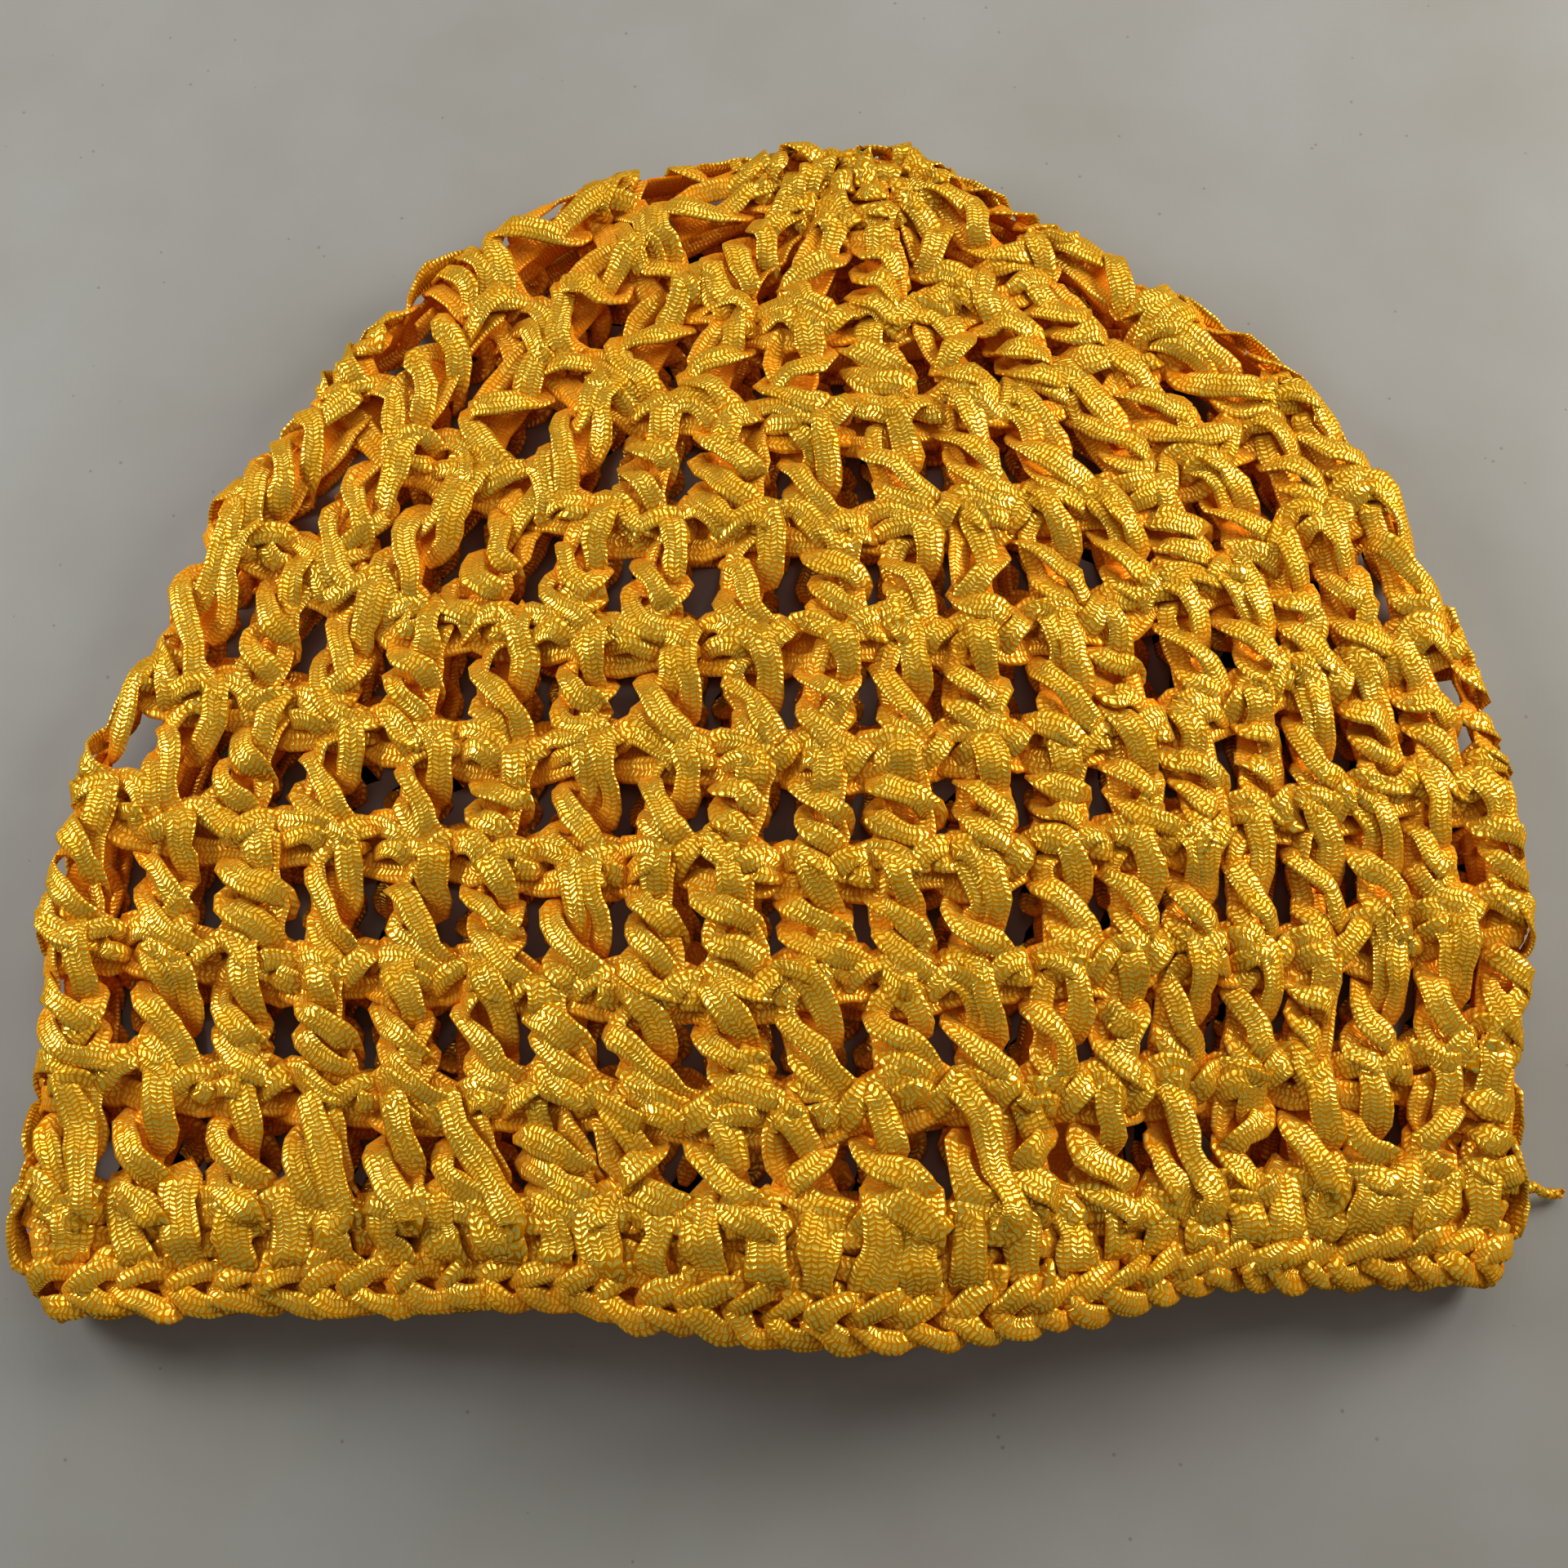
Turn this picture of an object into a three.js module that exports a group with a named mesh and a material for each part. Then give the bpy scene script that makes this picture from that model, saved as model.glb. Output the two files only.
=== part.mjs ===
// A crocheted openwork cap, lying flat with its mouth towards -Y and its crown towards +Y.
// The work is a bag of net, pressed into an upper and a lower layer that meet in folds at the left,
// right and top. It is made of rings, from the crown to the hem: the crown, nine openwork rounds of
// tall stitches, a dense hem band and the chain along its edge. Each gap cut through a round stands
// for two of the real ones. Millimetres, +Z up, the origin under the middle of the cap.

import * as THREE from 'three';

// Driving dimensions
const WALL = 4.5;          // thickness of the crocheted fabric
const FOLD_GAP = 7;        // between the middles of the two layers, where they meet in a fold
const PIECE_GAP = 0.3;     // clearance between neighbouring rings
const CHAIN_ROUNDING = 0.7; // share of the edge chain's half height that its flats take
const CROWN_BULGE = 3;     // how far the crown stands out over the straight line of the top fold
const END_DIAMETER = 2.2;  // the loose end of the yarn
const END_LENGTH = 9;      // how far the loose end reaches past the hem band
const END_TURN = 1.2;      // how far it turns towards the mouth
const END_SEAT = 0.1;      // share of the hem band's height, from its top, where the end leaves it

// How finely the rings are faceted
const STRIP_STEPS = 16;    // steps along each layer, the same on every line, so that rings match
const FOLD_STEPS = 5;      // steps round each fold
const CROWN_SHELLS = [0, 0.3, 0.65, 1]; // where the crown's inner rings lie, from the apex to its edge
const END_SIDES = 8;
const END_STEPS = 4;

// Share of a net tile that its gap takes
const GAP_WIDTH = 0.56;
const GAP_HEIGHT = 0.64;
const GAP_CORNER = 0.74;   // how square the gap's corners are, 0.71 for an ellipse and 1 for a square

// The lines of stitches from the crown to the hem. left and right are the outermost points of the
// folds, sag is how far the middle of the arc lies nearer to the hem, dip is one more sag that only
// the right of the middle has, and lift is how far the upper layer stands up over spread, a share of
// the line's length each way. gaps is how many each layer of the ring below the line is pierced with,
// and lean how far these slope to the right on the way to the hem, as a share of a tile.
const LINES = [
  { left: [-7.4, 106.4], right: [27.7, 101.8], sag: 17.7, dip: 0, lift: 3, spread: 0.50, gaps: 3, lean: 0 },
  { left: [-37.3, 100.8], right: [51.1, 90.5], sag: 31.5, dip: 0, lift: 6, spread: 0.50, gaps: 5, lean: 0 },
  { left: [-66.2, 83.9], right: [73.1, 74.6], sag: 35.4, dip: 0, lift: 9, spread: 0.50, gaps: 6, lean: -0.05 },
  { left: [-87.9, 59.1], right: [94.9, 55.7], sag: 35.5, dip: 0, lift: 11, spread: 0.50, gaps: 7, lean: -0.05 },
  { left: [-106.2, 31.5], right: [108.1, 36.7], sag: 33.4, dip: 0, lift: 13, spread: 0.49, gaps: 8, lean: 0 },
  { left: [-115.5, 3.2], right: [117.3, 8.9], sag: 25.3, dip: 0, lift: 14, spread: 0.48, gaps: 8, lean: 0.08 },
  { left: [-124.4, -19.0], right: [122.8, -15.3], sag: 20.5, dip: 0, lift: 15, spread: 0.47, gaps: 8, lean: 0.12 },
  { left: [-127.0, -44.8], right: [124.4, -39.9], sag: 14.2, dip: 0, lift: 16, spread: 0.46, gaps: 8, lean: 0.20 },
  { left: [-125.3, -68.1], right: [119.5, -64.0], sag: 8, dip: 2, lift: 17, spread: 0.44, gaps: 7, lean: 0.25 },
  { left: [-126.1, -89.6], right: [117.9, -85.1], sag: 3, dip: 4, lift: 18, spread: 0.42, gaps: 0, lean: 0 },
  { left: [-122.6, -99.1], right: [115.7, -94.1], sag: 1, dip: 6, lift: 18, spread: 0.42, gaps: 0, lean: 0 },
  { left: [-118.5, -106.0], right: [112.1, -100.6], sag: 0.5, dip: 7, lift: 17, spread: 0.42, gaps: 0, lean: 0 },
];
const APEX = [10.1, 109.6];  // the outermost point of the top fold, at the middle of the crown
const LIFT_PEAK = 0.54;    // where along a line the upper layer stands highest
const DIP_PEAK = 0.57;
const DIP_SPREAD = 0.27;

const BAND_LINE = 9;       // the line where the openwork ends and the hem band starts
const EDGE_LINE = 10;      // the line where the hem band ends and the edge chain starts
const HEM_LINE = 11;       // the outer edge of the chain

const INSET = (FOLD_GAP + WALL) / 2; // from the outermost point of a fold to the end of its flat layers
const LOW_Z = WALL / 2;              // middle of the lower layer, which lies flat
const TANGENT_STEP = 0.01;           // share of a line over which its direction at an end is taken

// The circle through a line's two ends and its sagging middle
function arcOf(line) {
  const left = new THREE.Vector2(...line.left);
  const right = new THREE.Vector2(...line.right);
  const half = left.distanceTo(right) / 2;
  const radius = (half * half + line.sag * line.sag) / (2 * line.sag);
  const along = right.clone().sub(left).normalize();
  const towardsCrown = new THREE.Vector2(-along.y, along.x);
  const centre = left.clone().add(right).multiplyScalar(0.5).addScaledVector(towardsCrown, radius - line.sag);
  const start = Math.atan2(left.y - centre.y, left.x - centre.x);
  const sweep = 2 * Math.acos((radius - line.sag) / radius);
  return { centre, radius, start, sweep };
}

// A smooth hump that is 1 at peak and 0 from spread away
function hump(share, peak, spread) {
  const away = Math.min(1, Math.abs(share - peak) / spread);
  return Math.cos((away * Math.PI) / 2) ** 2;
}

// A point at a share of the way along a line's layer, from the left, in plan
function planPoint(line, share) {
  const arc = arcOf(line);
  const margin = INSET / arc.radius;
  const angle = arc.start + margin + (arc.sweep - 2 * margin) * share;
  const x = arc.centre.x + arc.radius * Math.cos(angle);
  const y = arc.centre.y + arc.radius * Math.sin(angle);
  return new THREE.Vector2(x, y - line.dip * hump(share, DIP_PEAK, DIP_SPREAD));
}

// A point on the half circle of a fold, turn 0 at the upper layer and 1 at the lower one
function foldPoint(end, outward, turn) {
  const reach = (FOLD_GAP / 2) * Math.sin(turn * Math.PI);
  const z = LOW_Z + (FOLD_GAP / 2) * (1 + Math.cos(turn * Math.PI));
  return new THREE.Vector3(end.x + outward.x * reach, end.y + outward.y * reach, z);
}

// The closed loop of points along one line: the upper layer from left to right, the right fold, the
// lower layer back, and the left fold. Every line has the same number of points, at the same shares.
function loopOf(line) {
  const loop = [];
  for (let i = 0; i <= STRIP_STEPS; i += 1) {
    const share = i / STRIP_STEPS;
    const plan = planPoint(line, share);
    const lift = line.lift * hump(share, LIFT_PEAK, line.spread);
    loop.push(new THREE.Vector3(plan.x, plan.y, LOW_Z + FOLD_GAP + lift));
  }
  const rightEnd = planPoint(line, 1);
  const rightOut = rightEnd.clone().sub(planPoint(line, 1 - TANGENT_STEP)).normalize();
  for (let i = 1; i < FOLD_STEPS; i += 1) {
    loop.push(foldPoint(rightEnd, rightOut, i / FOLD_STEPS));
  }
  for (let i = STRIP_STEPS; i >= 0; i -= 1) {
    const plan = planPoint(line, i / STRIP_STEPS);
    loop.push(new THREE.Vector3(plan.x, plan.y, LOW_Z));
  }
  const leftEnd = planPoint(line, 0);
  const leftOut = leftEnd.clone().sub(planPoint(line, TANGENT_STEP)).normalize();
  for (let i = FOLD_STEPS - 1; i >= 1; i -= 1) {
    loop.push(foldPoint(leftEnd, leftOut, i / FOLD_STEPS));
  }
  return loop;
}

// At the apex the loop closes up to the half circle of the top fold, run over twice
function apexLoop() {
  const end = new THREE.Vector2(APEX[0], APEX[1] - INSET);
  const outward = new THREE.Vector2(0, 1);
  const turns = [];
  for (let i = 0; i <= STRIP_STEPS; i += 1) {
    turns.push(0);
  }
  for (let i = 1; i < FOLD_STEPS; i += 1) {
    turns.push(i / FOLD_STEPS);
  }
  for (let i = 0; i <= STRIP_STEPS; i += 1) {
    turns.push(1);
  }
  for (let i = FOLD_STEPS - 1; i >= 1; i -= 1) {
    turns.push(i / FOLD_STEPS);
  }
  const points = turns.map((turn) => foldPoint(end, outward, turn));
  const normals = turns.map((turn) => {
    return new THREE.Vector3(0, Math.sin(turn * Math.PI), Math.cos(turn * Math.PI));
  });
  return { points, normals };
}

// The outward direction at each point of a line, from the loops of the lines before and after it
function normalsOf(before, loop, after) {
  return loop.map((point, i) => {
    const count = loop.length;
    const along = loop[(i + 1) % count].clone().sub(loop[(i + count - 1) % count]);
    const across = after[i].clone().sub(before[i]);
    return across.cross(along).normalize();
  });
}

const apex = apexLoop();
const loops = LINES.map(loopOf);
const normals = loops.map((loop, i) => {
  const before = i === 0 ? apex.points : loops[i - 1];
  const after = i === loops.length - 1 ? loop : loops[i + 1];
  return normalsOf(before, loop, after);
});

// A closed mesh that is put together from flat-sided faces and shares its corners
class Shell {
  constructor() {
    this.corners = [];
    this.faces = [];
    this.seen = new Map();
  }

  corner(point) {
    const key = `${point.x.toFixed(3)},${point.y.toFixed(3)},${point.z.toFixed(3)}`;
    if (!this.seen.has(key)) {
      this.seen.set(key, this.corners.length / 3);
      this.corners.push(point.x, point.y, point.z);
    }
    return this.seen.get(key);
  }

  triangle(a, b, c) {
    const [i, j, k] = [a, b, c].map((point) => this.corner(point));
    if (i !== j && j !== k && k !== i) {
      this.faces.push(i, j, k);
    }
  }

  quad(a, b, c, d) {
    this.triangle(a, b, c);
    this.triangle(a, c, d);
  }

  geometry() {
    const made = new THREE.BufferGeometry();
    made.setAttribute('position', new THREE.Float32BufferAttribute(this.corners, 3));
    made.setIndex(this.faces);
    made.computeVertexNormals();
    return made;
  }
}

// The band between two lines, as a function of the step along the loop and the share of the way down.
// level is 1 on the outer side of the wall and -1 on the inner one.
function bandBetween(upperPoints, upperNormals, lowerPoints, lowerNormals) {
  return (step, down, level) => {
    const count = upperPoints.length;
    const low = Math.floor(step);
    const part = step - low;
    const at = (index) => {
      const i = index % count;
      const margin = PIECE_GAP / 2 / upperPoints[i].distanceTo(lowerPoints[i]);
      const share = margin + (1 - 2 * margin) * down;
      const normal = upperNormals[i].clone().lerp(lowerNormals[i], down).normalize();
      return upperPoints[i].clone().lerp(lowerPoints[i], share).addScaledVector(normal, (level * WALL) / 2);
    };
    return part === 0 ? at(low) : at(low).lerp(at(low + 1), part);
  };
}

// The ring of faces between an outline and a smaller one inside it, both counted the same way round
function addRing(shell, outline, inner, flip) {
  let i = 0;
  let j = 0;
  while (i < outline.length || j < inner.length) {
    const a = outline[i % outline.length];
    const b = inner[j % inner.length];
    const nextA = outline[(i + 1) % outline.length];
    const nextB = inner[(j + 1) % inner.length];
    const outlineTurn = (i + 0.5) / outline.length;
    const innerTurn = (j + 0.5) / inner.length;
    const stepOutline = j >= inner.length || (i < outline.length && outlineTurn <= innerTurn);
    const corner = stepOutline ? nextA : nextB;
    if (flip) {
      shell.triangle(a, b, corner);
    } else {
      shell.triangle(a, corner, b);
    }
    if (stepOutline) {
      i += 1;
    } else {
      j += 1;
    }
  }
}

// One tile of net: a patch of the band from step first to step last, with a gap through its middle
function addTile(shell, band, first, last, lean) {
  const middle = (first + last) / 2;
  const halfWidth = ((last - first) * GAP_WIDTH) / 2;
  const halfHeight = GAP_HEIGHT / 2;
  const outline = [];
  for (let step = first; step < last; step += 1) {
    outline.push([step, 0]);
  }
  outline.push([last, 0], [last, 0.5]);
  for (let step = last; step > first; step -= 1) {
    outline.push([step, 1]);
  }
  outline.push([first, 1], [first, 0.5]);
  const signs = [[-1, -1], [0, -1], [1, -1], [1, 0], [1, 1], [0, 1], [-1, 1], [-1, 0]];
  const hole = signs.map(([sideways, down]) => {
    const square = sideways !== 0 && down !== 0 ? GAP_CORNER : 1;
    const offset = lean * (last - first) * down * halfHeight;
    return [middle + sideways * square * halfWidth + offset, 0.5 + down * square * halfHeight];
  });
  for (const level of [1, -1]) {
    const outer = outline.map(([step, down]) => band(step, down, level));
    const inner = hole.map(([step, down]) => band(step, down, level));
    addRing(shell, outer, inner, level === 1);
  }
  hole.forEach(([step, down], i) => {
    const [nextStep, nextDown] = hole[(i + 1) % hole.length];
    shell.quad(
      band(step, down, 1),
      band(step, down, -1),
      band(nextStep, nextDown, -1),
      band(nextStep, nextDown, 1),
    );
  });
}

// A plain patch of the band, without a gap
function addPatch(shell, band, first, last, rows) {
  for (let step = first; step < last; step += 1) {
    for (let row = 0; row < rows; row += 1) {
      const top = row / rows;
      const bottom = (row + 1) / rows;
      shell.quad(band(step, top, 1), band(step, bottom, 1), band(step + 1, bottom, 1), band(step + 1, top, 1));
      shell.quad(band(step, top, -1), band(step + 1, top, -1), band(step + 1, bottom, -1), band(step, bottom, -1));
    }
  }
}

// The faces that close the wall along the upper and lower edge of a ring
function addEdges(shell, band, count, down) {
  for (let step = 0; step < count; step += 1) {
    const corners = [band(step, down, 1), band(step + 1, down, 1), band(step + 1, down, -1), band(step, down, -1)];
    if (down === 1) {
      corners.reverse();
    }
    shell.quad(...corners);
  }
}

// One openwork round between two lines
function roundGeometry(index) {
  const line = LINES[index];
  const shell = new Shell();
  const band = bandBetween(loops[index], normals[index], loops[index + 1], normals[index + 1]);
  const lowerStart = STRIP_STEPS + FOLD_STEPS;
  for (let gap = 0; gap < line.gaps; gap += 1) {
    const first = Math.round((gap * STRIP_STEPS) / line.gaps);
    const last = Math.round(((gap + 1) * STRIP_STEPS) / line.gaps);
    addTile(shell, band, first, last, line.lean);
    addTile(shell, band, lowerStart + first, lowerStart + last, -line.lean);
  }
  addPatch(shell, band, STRIP_STEPS, lowerStart, 2);
  addPatch(shell, band, lowerStart + STRIP_STEPS, 2 * lowerStart, 2);
  addEdges(shell, band, 2 * lowerStart, 0);
  addEdges(shell, band, 2 * lowerStart, 1);
  return shell.geometry();
}

// The dense hem band, with no gaps
function hemBandGeometry() {
  const shell = new Shell();
  const band = bandBetween(loops[BAND_LINE], normals[BAND_LINE], loops[EDGE_LINE], normals[EDGE_LINE]);
  const count = 2 * (STRIP_STEPS + FOLD_STEPS);
  addPatch(shell, band, 0, count, 1);
  addEdges(shell, band, count, 0);
  addEdges(shell, band, count, 1);
  return shell.geometry();
}

// The crown: a folded disc of dense work, from its apex on the top fold to the first line
function crownGeometry() {
  const shell = new Shell();
  const band = bandBetween(apex.points, apex.normals, loops[0], normals[0]);
  const count = 2 * (STRIP_STEPS + FOLD_STEPS);
  const at = (step, down, level) => {
    const i = step % count;
    if (down === 0) {
      return apex.points[i].clone().addScaledVector(apex.normals[i], (level * WALL) / 2);
    }
    const outward = apex.normals[i].clone().lerp(normals[0][i], down).y;
    const bulge = CROWN_BULGE * Math.max(0, outward) * Math.sin(down * Math.PI);
    const point = band(i, down, level);
    point.y += bulge;
    return point;
  };
  for (let ring = 1; ring < CROWN_SHELLS.length; ring += 1) {
    const top = CROWN_SHELLS[ring - 1];
    const bottom = CROWN_SHELLS[ring];
    for (let step = 0; step < count; step += 1) {
      shell.quad(at(step, top, 1), at(step, bottom, 1), at(step + 1, bottom, 1), at(step + 1, top, 1));
      shell.quad(at(step, top, -1), at(step + 1, top, -1), at(step + 1, bottom, -1), at(step, bottom, -1));
    }
  }
  addEdges(shell, band, count, 1);
  return shell.geometry();
}

// The chain along the hem: a rounded bar that follows the loop between the last two lines
function edgeChainGeometry() {
  const shell = new Shell();
  const count = 2 * (STRIP_STEPS + FOLD_STEPS);
  const flat = CHAIN_ROUNDING;
  const section = [[-1, flat], [-flat, 1], [flat, 1], [1, flat], [1, -flat], [flat, -1], [-flat, -1], [-1, -flat]];
  const ringAt = (step) => {
    const i = step % count;
    const top = loops[EDGE_LINE][i];
    const bottom = loops[HEM_LINE][i];
    const down = bottom.clone().sub(top).normalize();
    const start = top.clone().addScaledVector(down, PIECE_GAP / 2);
    const middle = start.clone().add(bottom).multiplyScalar(0.5);
    const half = start.distanceTo(bottom) / 2;
    return section.map(([along, out]) => {
      const point = middle.clone().addScaledVector(down, along * half);
      return point.addScaledVector(normals[EDGE_LINE][i], (out * WALL) / 2);
    });
  };
  for (let step = 0; step < count; step += 1) {
    const here = ringAt(step);
    const next = ringAt(step + 1);
    for (let side = 0; side < section.length; side += 1) {
      const following = (side + 1) % section.length;
      shell.quad(here[side], here[following], next[following], next[side]);
    }
  }
  return shell.geometry();
}

// The loose end of the yarn, which leaves the fold of the hem band at the right and droops to the table
function yarnEndGeometry() {
  const band = bandBetween(loops[BAND_LINE], normals[BAND_LINE], loops[EDGE_LINE], normals[EDGE_LINE]);
  const fold = STRIP_STEPS + Math.round(FOLD_STEPS / 2);
  const seat = band(fold, END_SEAT, 1);
  seat.x += PIECE_GAP;
  const route = new THREE.CubicBezierCurve3(
    seat,
    seat.clone().add(new THREE.Vector3(END_LENGTH / 3, 0, 0)),
    new THREE.Vector3(seat.x + (END_LENGTH * 2) / 3, seat.y - END_TURN, END_DIAMETER / 2),
    new THREE.Vector3(seat.x + END_LENGTH, seat.y - END_TURN, END_DIAMETER / 2),
  );
  const section = new THREE.Shape();
  for (let side = 0; side < END_SIDES; side += 1) {
    const angle = ((side + 0.5) / END_SIDES) * 2 * Math.PI;
    const x = (END_DIAMETER / 2) * Math.cos(angle);
    const y = (END_DIAMETER / 2) * Math.sin(angle);
    if (side === 0) {
      section.moveTo(x, y);
    } else {
      section.lineTo(x, y);
    }
  }
  section.closePath();
  return new THREE.ExtrudeGeometry(section, { steps: END_STEPS, extrudePath: route, bevelEnabled: false });
}

const yarn = { color: 0xe0a41e, roughness: 0.45, metalness: 0 };

function piece(name, geometry) {
  const mesh = new THREE.Mesh(geometry, new THREE.MeshStandardMaterial(yarn));
  mesh.name = name;
  return mesh;
}

const cap = new THREE.Group();
cap.add(piece('crown', crownGeometry()));
for (let index = 0; index < BAND_LINE; index += 1) {
  cap.add(piece(`round_${index + 1}`, roundGeometry(index)));
}
cap.add(piece('hem_band', hemBandGeometry()));
cap.add(piece('edge_chain', edgeChainGeometry()));
cap.add(piece('yarn_end', yarnEndGeometry()));

export default cap;
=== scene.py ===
"""A crocheted hair net: a golden openwork cap of flat ribbon yarn, lying flat on a pale tile.

The cap is a bag of net, pressed into an upper and a lower layer that meet in folds at the left, right
and top. Each ring of stitches is crocheted by Geometry Nodes: a few stitch shapes, drawn as strands in
the space of one stitch, are laid round the ring and bent onto the cloth's middle surface, and a flat
ribbon is drawn along every strand. Sizes on the cloth are millimetres, the finished meshes metres.
"""

import math
from collections import namedtuple

import bpy
import numpy as np
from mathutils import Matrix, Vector


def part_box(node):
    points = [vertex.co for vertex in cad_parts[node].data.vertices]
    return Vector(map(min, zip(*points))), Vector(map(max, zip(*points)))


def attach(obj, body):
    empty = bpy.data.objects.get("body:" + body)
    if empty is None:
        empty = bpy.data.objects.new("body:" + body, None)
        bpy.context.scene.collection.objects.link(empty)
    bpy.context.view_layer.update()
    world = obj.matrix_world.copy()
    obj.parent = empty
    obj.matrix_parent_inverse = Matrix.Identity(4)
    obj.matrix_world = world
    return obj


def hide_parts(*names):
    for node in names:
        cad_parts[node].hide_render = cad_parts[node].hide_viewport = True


bl_info = {
    "name": "Crocheted hair net",
    "version": (1, 0, 0),
    "blender": (4, 5, 0),
    "location": "3D View > Sidebar > Hair net",
    "description": "Crochets an openwork cap of ribbon yarn, ring by ring, lying flat",
    "category": "Add Mesh",
}

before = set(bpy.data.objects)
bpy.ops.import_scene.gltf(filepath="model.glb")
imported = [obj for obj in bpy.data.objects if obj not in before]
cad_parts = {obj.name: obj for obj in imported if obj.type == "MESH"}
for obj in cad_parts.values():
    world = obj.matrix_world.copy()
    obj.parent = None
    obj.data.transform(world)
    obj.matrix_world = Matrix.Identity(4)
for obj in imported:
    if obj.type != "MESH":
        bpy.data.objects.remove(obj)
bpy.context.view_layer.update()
MM = 0.001

# The lines of stitches from the crown to the hem, as the solids have them. left and right are the
# outermost points of the folds, sag is how far the middle of the arc lies nearer to the hem, dip is
# one more sag that only the right of the middle has, and lift is how far the upper layer stands up
# over spread, a share of the line's length each way. slope is how far the stitches below the line
# shift to the right on their way to the hem.
Line = namedtuple("Line", "left right sag dip lift spread slope")
LINES = [
    Line((-7.4, 105.6), (28.4, 103.0), 17.7, 0, 3, 0.50, 0),
    Line((-37.3, 100.8), (51.1, 90.5), 31.5, 0, 6, 0.50, 0),
    Line((-65.0, 83.2), (73.1, 74.6), 35.4, 0, 9, 0.50, -1),
    Line((-86.8, 58.6), (94.9, 55.7), 35.5, 0, 11, 0.50, 0),
    Line((-106.2, 31.5), (108.1, 36.7), 33.4, 0, 13, 0.49, 0),
    Line((-115.5, 3.2), (117.3, 8.9), 25.3, 0, 14, 0.48, 1),
    Line((-124.4, -19.0), (122.8, -15.3), 20.5, 0, 15, 0.47, 3),
    Line((-127.0, -44.8), (124.4, -39.9), 14.2, 0, 16, 0.46, 7),
    Line((-125.3, -68.1), (119.5, -64.0), 8, 2, 17, 0.44, 8),
    Line((-126.1, -89.6), (117.9, -85.1), 3, 4, 18, 0.42, 0),
    Line((-122.6, -99.1), (115.7, -94.1), 1, 6, 18, 0.42, 0),
    Line((-118.5, -106.0), (112.1, -100.6), 0.5, 7, 17, 0.42, 0),
]

# The hem band starts at this line and the edge chain at the next one
BAND_LINE = 9
EDGE_LINE = 10

# The middle of the top fold, the thickness of the cloth and the gap between its layers at a fold
APEX = (12.0, 106.4)
WALL = 4.5
FOLD_GAP = 7
INSET = (FOLD_GAP + WALL) / 2
LOW_Z = WALL / 2

# How far the sides of the crown bulge upwards
CROWN_BULGE = 2.2

# Where along a line the lift, the dip and the slope are greatest, and how far they reach each way
LIFT_PEAK = 0.54
DIP_PEAK = 0.57
DIP_SPREAD = 0.27
SLOPE_PEAK = 0.42
SLOPE_SPREAD = 0.42

# Stitches all the way round the crown, each openwork round, the hem band and the edge chain
CROWN_STITCHES = 12
ROUND_STITCHES = [14, 20, 26, 32, 36, 38, 40, 40, 40]
BAND_STITCHES = 62
CHAIN_LINKS = 74

# The last round of close stitches and the last where close and tall ones mix
CLOSE_ROUNDS = 2
MIXED_ROUNDS = 4

# How far from its ends a ribbon starts to taper
RIBBON_TAPER = 1.8

# How finely the cloth's middle surface is sampled, and how far it runs past a ring's two lines
LAYER_STEPS = 96
FOLD_STEPS = 12
HALF_COLUMNS = 120
SURFACE_ROWS = 30
OVERRUN = 0.5

# Where the photo was taken from
CAMERA_PLACE = (-1.9, -99.2, 285.5)

# The size of stitch that the shapes below are drawn for
DRAWN_PITCH = 13
DRAWN_HEIGHT = 20


def hump(share, peak, spread):
    """A smooth hump that is 1 at peak and 0 from spread away."""
    away = np.minimum(1, np.abs(share - peak) / spread)
    return np.cos(away * math.pi / 2) ** 2


def plan_of(line, shares):
    """Points along a line's layer in plan, at shares of the way from the left."""
    left = np.array(line.left)
    right = np.array(line.right)
    half = np.linalg.norm(right - left) / 2
    along = (right - left) / (2 * half)
    sag = line.sag
    radius = (half**2 + sag**2) / (2 * sag)
    centre = (left + right) / 2 + np.array([-along[1], along[0]]) * (radius - sag)
    start = math.atan2(left[1] - centre[1], left[0] - centre[0])
    sweep = 2 * math.acos((radius - sag) / radius)
    margin = INSET / radius
    angles = start + margin + (sweep - 2 * margin) * shares
    plan = centre + radius * np.column_stack([np.cos(angles), np.sin(angles)])
    plan[:, 1] -= line.dip * hump(shares, DIP_PEAK, DIP_SPREAD)
    return plan


def fold_of(end, outward, turns):
    """Points on the half circle of a fold, turn 0 at the upper layer and 1 at the lower one."""
    reach = FOLD_GAP / 2 * np.sin(turns * math.pi)
    height = LOW_Z + FOLD_GAP / 2 * (1 + np.cos(turns * math.pi))
    return np.column_stack([end[0] + outward[0] * reach, end[1] + outward[1] * reach, height])


def evenly(points, count):
    """The same path in count even steps."""
    steps = np.linalg.norm(np.diff(points, axis=0), axis=1)
    travelled = np.concatenate([[0], np.cumsum(steps)])
    wanted = np.linspace(0, travelled[-1], count + 1)
    return np.column_stack([np.interp(wanted, travelled, points[:, axis]) for axis in range(3)])


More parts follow.
